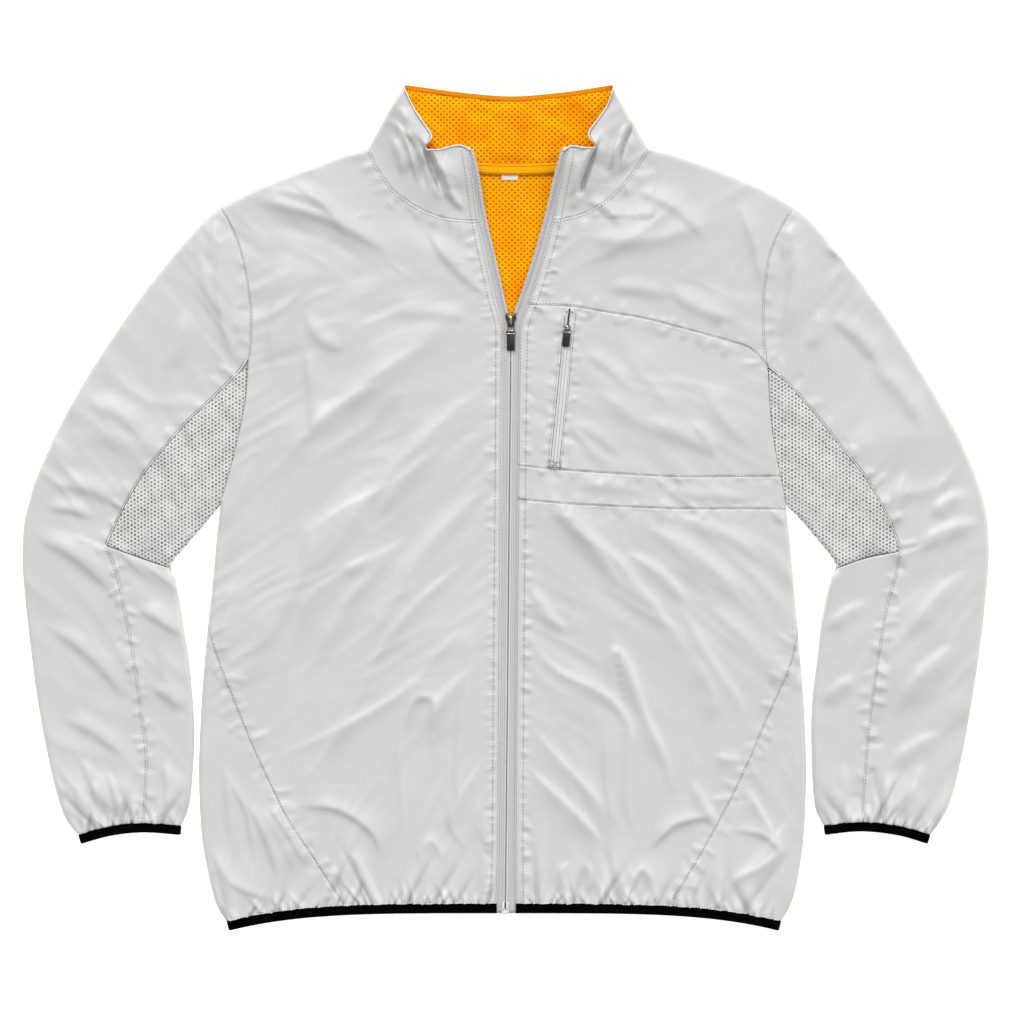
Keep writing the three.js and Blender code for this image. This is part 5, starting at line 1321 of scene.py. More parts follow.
class JACKET_OT_collar(bpy.types.Operator):
    """Makes the stand collar: two fronts, the back, its lining and the piped edge"""

    bl_idname = "jacket.collar"
    bl_label = "Collar"

    def execute(self, context):
        for half in HALVES:
            end = ("right", "left")[half.side]
            panel = Panel(half.neck, half.collar_top, half.collar_side,
                          half.front.between(half.neck.p[-1], half.front.p[-1]),
                          seam_kinds(left="roll"), cloth_height, 1.5, turns_back=True)
            points = panel.points()
            cloth("shell_collar_front_" + end, points, [MATERIALS["shell"], MATERIALS["lining"]],
                  "shell", nodes=["collar_front_" + end], thick=1.2, rests_on=["lining_collar"],
                  inner=1)
            edge = points[-1]
            tube("piping_collar_" + end, edge + np.array([0, 0, 0.35]), 0.75, 8,
                 "piping")
            inward = points[-4] - edge
            inward /= np.maximum(np.linalg.norm(inward, axis=1, keepdims=True), 1e-6)
            tube("piping_collar_thread_" + end, edge + 1.15 * inward + np.array([0, 0, 0.75]), 0.3,
                 6, "cord")
        back = Panel(NECK_BACK, COLLAR_EDGE, RIGHT.collar_side, LEFT.collar_side,
                     seam_kinds(left="roll", right="roll"), coarse=5, down=True)
        cloth("shell_collar_back", back.points(), [MATERIALS["shell"]], "shell",
              nodes=["collar_back"], thick=size("cloth"), down=True)
        return {"FINISHED"}


def cap(mesh):
    """Closes a ring's open ends."""
    bm = bmesh.new()
    bm.from_mesh(mesh)
    loose = [e for e in bm.edges if e.is_boundary]
    if loose:
        bmesh.ops.holes_fill(bm, edges=loose, sides=0)
    bmesh.ops.recalc_face_normals(bm, faces=bm.faces)
    bm.to_mesh(mesh)
    bm.free()
    mesh.polygons.foreach_set("use_smooth", [True] * len(mesh.polygons))


def tube(name, path, radius, sides, material):
    """A round cord along a path of points in millimetres."""
    path = np.asarray(path, float)
    tangent = np.gradient(path, axis=0)
    tangent /= np.maximum(np.linalg.norm(tangent, axis=1, keepdims=True), 1e-9)
    up = np.array([0, 0, 1.0])
    side = np.cross(tangent, up)
    side /= np.maximum(np.linalg.norm(side, axis=1, keepdims=True), 1e-9)
    lift = np.cross(side, tangent)
    angle = np.linspace(0, 2 * math.pi, sides + 1)
    c, s = np.cos(angle)[None, :, None], np.sin(angle)[None, :, None]
    ring = c * side[:, None] + s * lift[:, None]
    mesh = grid_mesh(name, path[:, None] + radius * ring, wrap=True)
    cap(mesh)
    put(name, mesh, [MATERIALS[material]])


# The back lining's sides, as far as they show through the open front: x, then the height.
LINING_SIDES = [((-30, 38), 140), ((-40, 48), 190), ((-52, 66), 240), ((-70, 78), 319)]


def level(panel, height, ripple=0.0):
    """A panel that lies level, but for a ripple that fades towards its long edges."""
    p = panel.flat()
    x, y = p[..., 0], p[..., 1]
    inward = panel.long * np.minimum(panel.v, 1 - panel.v)[:, None]
    wave = creased(x, y, -28, 13, 40, 151) + 0.6 * creased(x, y, 40, 9, 26, 161)
    return np.dstack([p, height + ripple * ease(inward / 12) * wave])


class JACKET_OT_linings(bpy.types.Operator):
    """Lays the orange mesh inside the collar and the back, with the neck tape and label"""

    bl_idname = "jacket.linings"
    bl_label = "Linings"

    def execute(self, context):
        low = raised(NECK_BACK, 1)
        inset = np.linspace(9.0, 1.6, len(RIGHT.collar_side.p))[:, None] * [1, 0]
        left = Line(RIGHT.collar_side.p + inset)
        right = Line(LEFT.collar_side.p - inset)
        bottom = low.between(left.p[0], right.p[0])
        top = COLLAR_EDGE.between(left.p[-1], right.p[-1])
        collar = Panel(bottom, top, Line([bottom.p[0], left.at(0.5), top.p[0]]),
                       Line([bottom.p[-1], right.at(0.5), top.p[-1]]), LOOSE, coarse=2.5)
        cloth("lining_collar", level(collar, LINING_TOP, 2.2), [MATERIALS["lining"]],
              "lining_mesh", nodes=["collar_lining"], rests_on=["shell_collar_back"])
        edge = raised(top, -2.2)
        band = Panel(raised(edge, -2.4), raised(top, 0.2), Line([edge.p[0] - [0, 2.4], top.p[0]]),
                     Line([edge.p[-1] - [0, 2.4], top.p[-1]]), LOOSE, coarse=2)
        cloth("lining_collar_edge", level(band, LINING_TOP + 1.2), [MATERIALS["rim"]],
              "lining_mesh", thick=0.6, rests_on=["lining_collar"])
        left, right = (Line(flat_catmull([(x[k], y) for x, y in LINING_SIDES])) for k in (0, 1))
        top = raised(NECK_BACK, -1.5).between(left.p[-1], right.p[-1])
        back = Panel(Line([left.p[0], right.p[0]]), top, Line([*left.p[:-1], top.p[0]]),
                     Line([*right.p[:-1], top.p[-1]]), LOOSE, coarse=4)
        cloth("lining_back", level(back, LINING_TOP, 0.5), [MATERIALS["lining"]], "lining_mesh",
              nodes=["back_lining"], rests_on=["shell_back"])
        middle = NECK_BACK.between((-70, 327), (78, 327))
        tape = Panel(raised(middle, -5), raised(middle, 5),
                     Line([middle.p[0] - [0, 5], middle.p[0] + [0, 5]]),
                     Line([middle.p[-1] - [0, 5], middle.p[-1] + [0, 5]]), LOOSE, coarse=2)
        p = level(tape, LINING_TOP + 2.2)
        p[..., 2] += 0.25 * np.cos((tape.v[:, None] - 0.5) * math.pi)
        cloth("tape_neck", p, [MATERIALS["edge"]], "lining_mesh", nodes=["neck_tape"], thick=0.6,
              rests_on=["lining_back"])
        for k, row in (("low", p[1]), ("high", p[-2])):
            tube("stitch_neck_" + k, row + [0, 0, 0.05], 0.32, 6, "deep")
        ends = [(-5.5, 310.5), (10.5, 310.5), (-5.5, 317), (10.5, 317)]
        label = Panel(Line(ends[:2]), Line(ends[2:]), Line(ends[::2]), Line(ends[1::2]), LOOSE,
                      coarse=1)
        p = level(label, LINING_TOP + 1.3)
        p[..., 2] -= 0.3 * (1 - label.v[:, None]) ** 2
        cloth("label_neck", p, [MATERIALS["label"]], "white_trim", nodes=["neck_label"], thick=0.3,
              rests_on=["lining_back"])
        return {"FINISHED"}


def band_profile(wide, sides=14):
    """A flattened ring: along the band's width and out from it."""

    def squared(part, power):
        return np.sign(part) * np.abs(part) ** (2 / power)

    angle = np.linspace(0, 2 * math.pi, sides + 1)
    return wide / 2 * squared(np.cos(angle), 5.0), BINDING_THICK / 2 * squared(np.sin(angle), 3.0)


def straight(a, b, layer, step=2.5):
    """A band's stations on one layer: the place along it, how far out, and how high, 1 to -1."""
    count = max(2, int(abs(b - a) / step))
    return [(a + (b - a) * k / count, 0.0, layer) for k in range(count + 1)]


def turned(at, out):
    """A band's stations round a folded side, from the upper layer to the lower one."""
    return [(at, out * math.sin(a), math.cos(a)) for a in np.linspace(0, math.pi, 9)[1:-1]]


def band_mesh(name, stations, edge, wide, closed):
    """The band's flattened ring swept along its stations, and the path's length."""
    radius = BOUND / 2
    across, out = band_profile(wide)
    rows = []
    for at, side, layer in stations:
        upper, lower, along = edge(at + side * radius)
        normal = np.array([along[0] * side, along[1] * side, layer])
        normal /= np.linalg.norm(normal)
        middle = np.array([*(upper + lower) / 2, radius + radius * layer])
        middle = middle - normal * BINDING_THICK / 2
        way = np.array([*(lower - upper) / wide, 0.0])
        wave = 1 + 0.05 * math.sin(at / 3.1) + 0.04 * math.sin(at / 1.7 + 1)
        rows.append(middle + across[:, None] * way + (out * wave)[:, None] * normal)
    if closed:
        rows.append(rows[0])
    points = np.array(rows)
    points[..., 2] = np.maximum(points[..., 2], 0.0)
    length = float(np.linalg.norm(np.diff(points.mean(1), axis=0), axis=-1).sum())
    mesh = grid_mesh(name, points, wrap=True)
    cap(mesh)
    return mesh, length


def bind(name, node, wide, stations, edge, closed):
    """Puts a binding down as a strip of elastic that is folded round the garment's edge."""
    mesh, length = band_mesh(name, stations, edge, wide, closed)
    piece = put(name, mesh, [MATERIALS["binding"]], nodes=[node])


class JACKET_OT_bindings(bpy.types.Operator):
    """Binds the hem and the cuffs with black elastic"""

    bl_idname = "jacket.bindings"
    bl_label = "Hem and cuff bindings"

    def execute(self, context):
        radius = BOUND / 2

        def hem_edge(x):
            slope = float(hem_height(x + 0.5) - hem_height(x - 0.5))
            long = math.hypot(1, slope)
            across = np.array([slope, -1]) / long
            upper = np.array([x, float(hem_height(x))]) + across * BINDING_REACH
            return upper, upper + across * BINDING_WIDE, np.array([1, slope]) / long

        low, high = RIGHT.flank.p[0][0] + radius, LEFT.flank.p[0][0] - radius
        start, end = RIGHT.front.p[0][0] - 0.3, LEFT.front.p[0][0] + 0.3
        path = straight(start, low, 1) + turned(low, -1) + straight(low, high, -1)
        path += turned(high, 1)[::-1] + straight(high, end, 1)
        bind("binding_hem", "hem_binding", BINDING_WIDE, path, hem_edge, False)
        for half in HALVES:
            end = ("right", "left")[half.side]
            line = half.cuff if half.side == 0 else half.cuff.reversed()

            def cuff_edge(at, line=line):
                p = line.at(at / line.length)
                along = line.at(at / line.length + 0.03) - line.at(at / line.length - 0.03)
                along = along / np.hypot(*along)
                across = np.array([along[1], -along[0]])
                upper = p + across * BINDING_REACH
                return upper, upper + across * CUFF_WIDE, along

            low, high = radius, line.length - radius
            path = straight(high, low, 1) + turned(low, -1) + straight(low, high, -1)
            path += turned(high, 1)[::-1]
            bind("binding_cuff_" + end, "cuff_binding_" + end, CUFF_WIDE, path, cuff_edge, True)
        return {"FINISHED"}


def tape_height(x, y):
    """Height of the zip's tapes, which run on level past the hem."""
    return cloth_height(x, np.maximum(y, -376)) - TAPE_DROP


def block(bm, place, box, bevel, segments=1):
    """Adds a rounded block of a size in millimetres at a place."""
    made = bmesh.ops.create_cube(
        bm, size=1, matrix=place @ Matrix.Diagonal((*(side * MM for side in box), 1)))
    edges = {e for v in made["verts"] for e in v.link_edges}
    bmesh.ops.bevel(bm, geom=list(edges), offset=bevel * MM, segments=segments, profile=0.5,
                    affect="EDGES", material=-1)


def smooth_piece(name, bm, material, nodes=()):
    """Turns a bmesh into a smooth piece of one material."""
    mesh = bpy.data.meshes.new(name)
    bm.to_mesh(mesh)
    bm.free()
    mesh.polygons.foreach_set("use_smooth", [True] * len(mesh.polygons))
    put(name, mesh, [MATERIALS[material]], nodes=nodes)


def repeat_box(name, places, box, material, bevel=0.1):
    """Many small rounded blocks, each at a place with its own turn, joined in one mesh."""
    bm = bmesh.new()
    for place in places:
        block(bm, place, box, bevel)
    smooth_piece(name, bm, material)


def place_at(x, y, z, angle):
    """A place in millimetres, turned on the floor."""
    spot = Vector(((x + SHIFT[0]) * MM, (y + SHIFT[1]) * MM, z * MM))
    return Matrix.Translation(spot) @ Matrix.Rotation(angle, 4, "Z")


def lifted(run, lift, height):
    """Points of a line on the cloth, lifted off it."""
    return np.hstack([run, height(run[:, 0], run[:, 1])[:, None] + lift])


def laid(spots, turns, lift, height):
    """A place on the cloth for each spot, turned and lifted off it."""
    levels = height(spots[:, 0], spots[:, 1]) + lift
    return [place_at(x, y, z, turn) for (x, y), z, turn in zip(spots, levels, turns)]


# The box and pin at the zip's end: a body, two prongs above it and a bridge; middle, then size.
ZIP_BOX = [
    ((-1.6, -384.4, 6.1), (6.4, 4.4, 2.2)), ((-3.4, -379.2, 6.4), (2.1, 7.6, 1.8)),
    ((0.2, -379.2, 6.4), (2.1, 7.6, 1.8)), ((-1.6, -381.4, 5.9), (5.6, 2.0, 1.4)),
]


class JACKET_OT_front_zip(bpy.types.Operator):
    """Sews in the front zip: its tapes, its teeth, the end box"""

    bl_idname = "jacket.front_zip"
    bl_label = "Front zip"

    def execute(self, context):
        for half in HALVES:
            end = ("right", "left")[half.side]
            sign = (-1, 1)[half.side]
            shell = Line(np.vstack([half.front.p[0] + [0, -9.3], half.front.p]))
            outer = Line(shell.p + [3.0 * sign, 0])
            inner = Line(half.meeting.p + [0.12 * sign, 0])
            panel = Panel(Line([outer.p[0], inner.p[0]]), Line([outer.p[-1], inner.p[-1]]), outer,
                          inner, LOOSE, tape_height, 1.2)
            panel.v = np.linspace(0, 1, 200)
            panel.u = np.linspace(0, 1, 31)
            p = panel.flat()
            x, y = p[..., 0], p[..., 1]
            z = tape_height(x.ravel(), y.ravel()).reshape(x.shape)
            across = np.linalg.norm(p - p[:, -1:], axis=-1)
            round_coil = np.sin(math.pi * np.clip(across / COIL_WIDE, 0, 1)) ** 0.5
            coil = np.where(across < COIL_WIDE, round_coil, 0)
            under = np.clip((0.3 - panel.u) / 0.3, 0, 1)[None, :]
            z = z - 0.5 * under + 0.5 * coil + 0.14 * np.cos(2 * math.pi / ZIP_RIB * across)
            cloth("tape_zip_" + end, np.dstack([p, z]), [MATERIALS["tape"]], "zip_tape",
                  nodes=["zip_tape_" + end], thick=0.7, rests_on=["shell_back"], across=across)
            open_edge = half.meeting.between(half.meeting.p[-1], (3.8, 186))
            count = int(open_edge.length / size("tooth"))
            share = np.arange(count + 1) / count
            ahead = open_edge.at(np.minimum(share + 0.01, 1)) - open_edge.at(
                np.maximum(share - 0.01, 0))
            places = laid(open_edge.at(share) + [1.35 * sign, 0],
                          np.arctan2(ahead[:, 1], ahead[:, 0]), 0.6, tape_height)
            repeat_box("teeth_zip_" + end, places, (0.65, 3.3, 1.8), "teeth", 0.2)
            run = open_edge.at(np.linspace(0, 1, 60)) + [1.5 * sign, 0]
            tube("filament_zip_" + end, lifted(run, 0, tape_height), 1.25, 8, "cord")
        closed = Line(flat_catmull([(-1.6, -374), (0.2, -200), (2.1, 0), (3.1, 100), (3.75, 170)]))
        count = int(closed.length / CHAIN_PITCH)
        spots = closed.at((np.arange(count) + 0.5) / count)
        places = laid(spots, [math.pi / 2] * count, 0.3, tape_height)
        repeat_box("chain_zip", places, (0.8, 1.5, 0.9), "dark")
        stops = laid(np.array([[-36.2, 339.0], [54.8, 339.0]]), [0.16, -0.2], 0.9, tape_height)
        repeat_box("stops_zip", stops, (3.0, 3.6, 1.4), "acetal", 0.4)
        box = bmesh.new()
        for spot, sides in ZIP_BOX:
            block(box, place_at(*spot, 0), sides, 0.4, 2)
        smooth_piece("box_zip_end", box, "acetal", ["zip_box"])
        # A black cord fills the slot between the pin's prongs: painted shade.
        gap = np.array([[-1.6, -375.0, 6.2], [-1.6, -379.0, 6.6], [-1.6, -382.0, 6.7]])
        tube("gap_zip_end", gap, 0.55, 6, "black")
        # Dark blocks on the box's top stand for its notches: painted shade of the recesses.
        notches = [place_at(x, -382.4, 7.2, 0) for x in (-3.2, 0.0)]
        repeat_box("notches_zip_end", notches, (0.7, 1.6, 0.5), "dark")
        return {"FINISHED"}


# Loops of thread at the pocket's lower end: across it, then up from it.
POCKET_LOOPS = {
    "rim": [(-5.4, 7), (-5.6, 2), (-4.6, -1.2), (0, -2.0), (4.6, -1.2), (5.6, 2), (5.4, 7)],
    "turn": [(-3.0, 6.0), (-0.6, 5.2), (0.2, 3.0), (-1.2, 1.6), (-3.2, 2.4)],
    "tuck": [(3.4, 5.6), (1.2, 4.6), (1.6, 1.4), (3.6, 0.8)],
}


class JACKET_OT_pocket(bpy.types.Operator):
    """Sets the chest pocket's zip between two narrow welts"""

    bl_idname = "jacket.pocket"
    bl_label = "Chest pocket"

    def execute(self, context):
        top, end = np.array(POCKET_TOP), np.array(POCKET_END)
        down = (end - top) / np.hypot(*(end - top))
        side = np.array([-down[1], down[0]])

        # The tape shows between two dark lines, partly stitches and partly painted shade of the
        # welts' grooves, and narrows to a round end at its top.
        half = 6.2
        panel = Panel(Line([end - side * half, end + side * half]),
                      Line([top - side * half, top + side * half]),
                      Line([end - side * half, top - side * half]),
                      Line([end + side * half, top + side * half]), LOOSE, cloth_height, 0.9)
        panel.u = np.linspace(0, 1, 38)
        panel.v = np.linspace(0, 1, 110)
        p = panel.flat()
        middle = (p[:, :1] + p[:, -1:]) / 2
        from_top = (1 - panel.v) * panel.long
        narrow = 1 - 0.5 * (1 - np.clip(from_top / 8, 0, 1)) ** 2
        p = middle + (p - middle) * narrow[:, None, None]
        across = np.linalg.norm(p - middle, axis=-1)
        z = cloth_height(p[..., 0].ravel(), p[..., 1].ravel()).reshape(p.shape[:2]) + 0.6
        shut = ease((from_top - 17) / 3)[:, None]
        z = z + (0.9 * shut - 0.5) * np.exp(-((across / 1.35) ** 4))
        z = z + 0.5 * ease((across - 4.3) / 0.5) - 1.3 * ease((across - 5.5) / 0.7)
        cloth("tape_pocket", np.dstack([p, z]), [MATERIALS["welt"]], "zip_tape",
              nodes=["pocket_tape"], thick=0.5, rests_on=["shell_front_left_chest"])
        # Dark lines in the grooves by the welts: partly thread, partly painted shade.
        for k, by in (("right", -4.35), ("left", 4.35)):
            run = np.linspace(top + [0, -7.0], end, 60) + by * side
            tube("edge_pocket_" + k, lifted(run, 0.75, cloth_height), 0.28, 6, "dark")
        # A black cord along the open slit: painted shade of the pocket's inside.
        opening = np.array([top + [0.0, -0.5], [58.6, 181.0], [57.75, 173.2]])
        tube("opening_pocket", lifted(opening, 0.9, cloth_height), 0.62, 8, "black")
        tacks = laid(np.array([[56.2, 185.2], [62.0, 184.8]]), [0.7, 2.3], 0.95, cloth_height)
        repeat_box("tacks_pocket", tacks, (1.5, 0.8, 0.5), "black")
        for name, loop in POCKET_LOOPS.items():
            run = np.array([end + a * side - b * down for a, b in flat_catmull(loop)])
            tube("end_pocket_" + name, lifted(run, 1.0, cloth_height), 0.3, 6, "dark")
        line = Line([POCKET_SLIDER, end])
        count = int(line.length / CHAIN_PITCH)
        spots = line.at((np.arange(count) + 0.5) / count)
        way = [math.atan2(down[1], down[0])] * count
        places = laid(spots + [-1.5, 0], way, 0.85, cloth_height)
        places += laid(spots + [1.5, 0], way, 0.85, cloth_height)
        repeat_box("chain_pocket", places, (1.1, 0.4, 0.5), "thread")
        return {"FINISHED"}


def bevelled_plate(outline, low, high, bevel, bm):
    """Adds a flat plate on an outline in millimetres, with softened edges."""
    corners = [bm.verts.new((x, y, low)) for x, y in outline]
    face = bm.faces.new(corners)
    grown = bmesh.ops.extrude_face_region(bm, geom=[face])["geom"]
    tops = [g for g in grown if isinstance(g, bmesh.types.BMVert)]
    bmesh.ops.translate(bm, verts=tops, vec=(0, 0, high - low))
    made = set(corners) | set(tops)
    edges = [e for e in bm.edges if e.verts[0] in made and e.verts[1] in made]
    bmesh.ops.bevel(bm, geom=edges, offset=bevel, segments=2, profile=0.5, affect="EDGES",
                    material=-1)


def bent_bar(size, reach, rise, floor, bm):
    """Adds a bar along Y that arches up from a floor: its width, thickness, reach and rise."""
    wide, thick = size
    low = bmesh.ops.create_grid(bm, x_segments=1, y_segments=12, size=1)["verts"]
    for v in low:
        part = abs(v.co.y)
        v.co = (v.co.x * wide / 2 * (1 - 0.25 * part**2), v.co.y * reach,
                floor + rise * (1 - part**4))
    strip = list({f for v in low for f in v.link_faces})
    top = bmesh.ops.extrude_face_region(bm, geom=strip)["geom"]
    top = [g for g in top if isinstance(g, bmesh.types.BMVert)]
    bmesh.ops.translate(bm, verts=top, vec=(0, 0, thick))
    made = set(low) | set(top)
    edges = [e for e in bm.edges if e.verts[0] in made and e.verts[1] in made
             and e.calc_face_angle(0) > 1.2]
    bmesh.ops.bevel(bm, geom=edges, offset=0.2, segments=2, profile=0.5, affect="EDGES",
                    material=-1)


def rounded(points, radius, steps=4):
    """A closed outline with its corners rounded."""
    p = [np.array(q, float) for q in points]
    out = []
    for k, q in enumerate(p):
        a, b = p[k - 1] - q, p[(k + 1) % len(p)] - q
        a, b = a / np.hypot(*a), b / np.hypot(*b)
        for t in np.linspace(0, 1, steps + 1):
            out.append((1 - t) ** 2 * (q + a * radius) + 2 * t * (1 - t) * q
                       + t**2 * (q + b * radius))
    return out


def box_outline(x0, y0, x1, y1):
    """The four corners of a rectangle."""
    return [(x0, y0), (x1, y0), (x1, y1), (x0, y1)]


class JACKET_OT_pulls(bpy.types.Operator):
    """Casts the sliders and their links, and moulds the ribbed pulls"""

    bl_idname = "jacket.pulls"
    bl_label = "Sliders and pulls"

    def execute(self, context):
        # Where each slider's middle is, in the frame's millimetres, and how the pocket's is turned.
        lie = {"zip": Matrix.Translation(Vector((4.95, 178.35, 0))),
               "pocket": Matrix.Translation(Vector((58.75, 170.75, 0)))
               @ Matrix.Rotation(-0.0943, 4, "Z")}

        def cast(name, which, material, body, node, shape):
            """Makes a piece by a shape's function, and lays it at its slider."""
            bm = bmesh.new()
            shape(bm)
            bmesh.ops.recalc_face_normals(bm, faces=bm.faces)
            bmesh.ops.transform(bm, matrix=Matrix.Scale(MM, 4) @ lie[which], verts=bm.verts)
            mesh = bpy.data.meshes.new(name)
            bm.to_mesh(mesh)
            bm.free()
            mesh.polygons.foreach_set("use_smooth", [True] * len(mesh.polygons))
            mesh.set_sharp_from_angle(angle=math.radians(40))
            return put(name, mesh, [MATERIALS[material]], body, [node] if node else [])

        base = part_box("zip_slider")[0][2] / MM
        half = [(3.2, -6.6), (3.7, -1.5), (5.2, 2.0), (5.1, 4.8), (3.6, 6.5), (1.9, 6.3),
                (1.2, 4.9)]
        outline = half + [(-x, y) for x, y in half[::-1]]

        def main_slider(bm):
            bevelled_plate(outline, base, base + 1.5, 0.3, bm)
            for side in (-1, 1):
                rim = [(2.5, -6.0), (3.2, -6.0), (3.3, -1.2), (4.7, 2.2), (4.5, 4.6), (3.5, 5.9),
                       (2.7, 5.6), (3.4, 3.6), (2.6, -0.8)]
                rim = [(side * x, y) for x, y in rim][::side]
                bevelled_plate(rim, base + 1.3, base + 2.3, 0.2, bm)

        def main_bridge(bm):
            bent_bar((2.3, 0.8), 4.6, 1.5, base + 1.4, bm)

        cast("slider_zip", "zip", "metal", JACKET, "zip_slider", main_slider)
        # The bridge is cast in bright metal: partly painted highlight on the slider.
        cast("bridge_zip", "zip", "nickel", JACKET, None, main_bridge)

        def main_link(bm):
            ring = rounded(box_outline(-3.1, -10.6, 3.1, -1.3), 1.6)
            hole = rounded(box_outline(-2.1, -9.7, 2.1, -2.3), 1.1)
            level = base + 1.85
            outer = [bm.verts.new((x, y, level)) for x, y in ring]
            inner = [bm.verts.new((x, y, level)) for x, y in hole]
            for loop in (outer, inner):
                for k, v in enumerate(loop):
                    bm.edges.new((loop[k - 1], v))
            faces = bmesh.ops.bridge_loops(bm, edges=bm.edges[:])["faces"]
            top = bmesh.ops.extrude_face_region(bm, geom=faces)["geom"]
            top = [g for g in top if isinstance(g, bmesh.types.BMVert)]
            bmesh.ops.translate(bm, verts=top, vec=(0, 0, 0.9))
            edges = [e for e in bm.edges if e.is_manifold and e.calc_face_angle(0) > 1.2]
            bmesh.ops.bevel(bm, geom=edges, offset=0.22, segments=2, profile=0.5, affect="EDGES",
                            material=-1)
            clasp = rounded(box_outline(-4.2, -14.1, 4.2, -9.6), 1.0)
            bevelled_plate(clasp, base + 0.2, base + 2.9, 0.45, bm)

        def clasp_bars(bm):
            for y, x in ((-13.3, 3.8), (-10.5, 3.2)):
                bevelled_plate(rounded(box_outline(-x, y - 0.5, x, y + 0.5), 0.4),
                               base + 2.7, base + 3.4, 0.2, bm)

        cast("link_zip", "zip", "metal", "main_pull", "zip_link", main_link)
        # The clasp bars are bright metal: partly painted highlight.
        cast("clasp_zip", "zip", "nickel", "main_pull", None, clasp_bars)
        base_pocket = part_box("pocket_slider")[0][2] / MM

        def pocket_slider(bm):
            made = bmesh.ops.create_uvsphere(bm, u_segments=28, v_segments=14, radius=3.3)["verts"]
            for v in made:
                part = max(0.0, v.co.y / 3.3)
                v.co.x *= 1 - 0.55 * part
                v.co.y *= 1 + 0.35 * part
                v.co.z = base_pocket + max(0.0, v.co.z * 0.75)

        def pocket_bridge(bm):
            bent_bar((2.9, 0.8), 2.4, 0.7, base_pocket + 1.9, bm)

        cast("slider_pocket", "pocket", "metal", JACKET, "pocket_slider",
             pocket_slider)
        # The bright bridge on the dome: partly painted highlight in its middle.
        cast("bridge_pocket", "pocket", "nickel", JACKET, None, pocket_bridge)

        def pocket_link(bm):
            ring = [(4.0 * math.cos(a), -2.4 + 2.6 * math.sin(a)) for a in
                    np.linspace(0, -math.pi, 13)]
            band = ring + [(x * 0.76, -2.4 + (y + 2.4) * 0.68) for x, y in ring[::-1]]
            bevelled_plate(band, base_pocket + 1.3, base_pocket + 2.3, 0.22, bm)
            # Two arms reach past the bridge to an axle in the slider, on the hinge's line.
            for x0, x1 in ((-3.6, -2.5), (2.5, 3.6)):
                bevelled_plate(rounded(box_outline(x0, -3.4, x1, -0.4), 0.35), base_pocket + 1.6,
                               base_pocket + 2.3, 0.15, bm)
            bevelled_plate(box_outline(-3.3, -1.15, 3.3, -0.65), base_pocket + 1.72,
                           base_pocket + 2.22, 0.1, bm)

        cast("link_pocket", "pocket", "nickel", "pocket_pull", "pocket_link",
             pocket_link)
        for which, node, body, wide, long in (
            ("zip", "zip_tab", "main_pull", 7.6, 15.6),
            ("pocket", "pocket_tab", "pocket_pull", 6.7, 13.2),
        ):
            low, high = (np.array(corner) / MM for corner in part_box(node))
            inverse = lie[which].inverted()
            middle = (inverse @ Vector((*((low + high) / 2)[:2], 0))).y
            y0, y1 = middle - long / 2, middle + long / 2

            def pull(bm, wide=wide, y0=y0, y1=y1, low=low[2], high=high[2]):
                x = wide / 2
                bevelled_plate(rounded(box_outline(-x, y0, x, y1), 1.1), low, high - 0.25, 0.5, bm)
                for at in (-0.55, -0.18, 0.18, 0.55):
                    bevelled_plate(rounded(box_outline(at * x - 0.45, y0 + 1.3, at * x + 0.45,
                                                       y1 - 1.3), 0.4),
                                   high - 0.6, high + 0.05, 0.15, bm)

            cast("pull_" + which, which, "rubber", body, node, pull)
        return {"FINISHED"}


def stitched(line, off, turn, start=0.0, end=1.0):
    """A line parallel to another, to one side of it."""
    share = np.linspace(start, end, max(3, int(line.length * (end - start) / 4)))
    p = line.at(share)
    d = np.gradient(p, axis=0)
    d /= np.maximum(np.hypot(d[:, 0], d[:, 1])[:, None], 1e-9)
    return Line(p + off * turn * np.stack([-d[:, 1], d[:, 0]], -1))


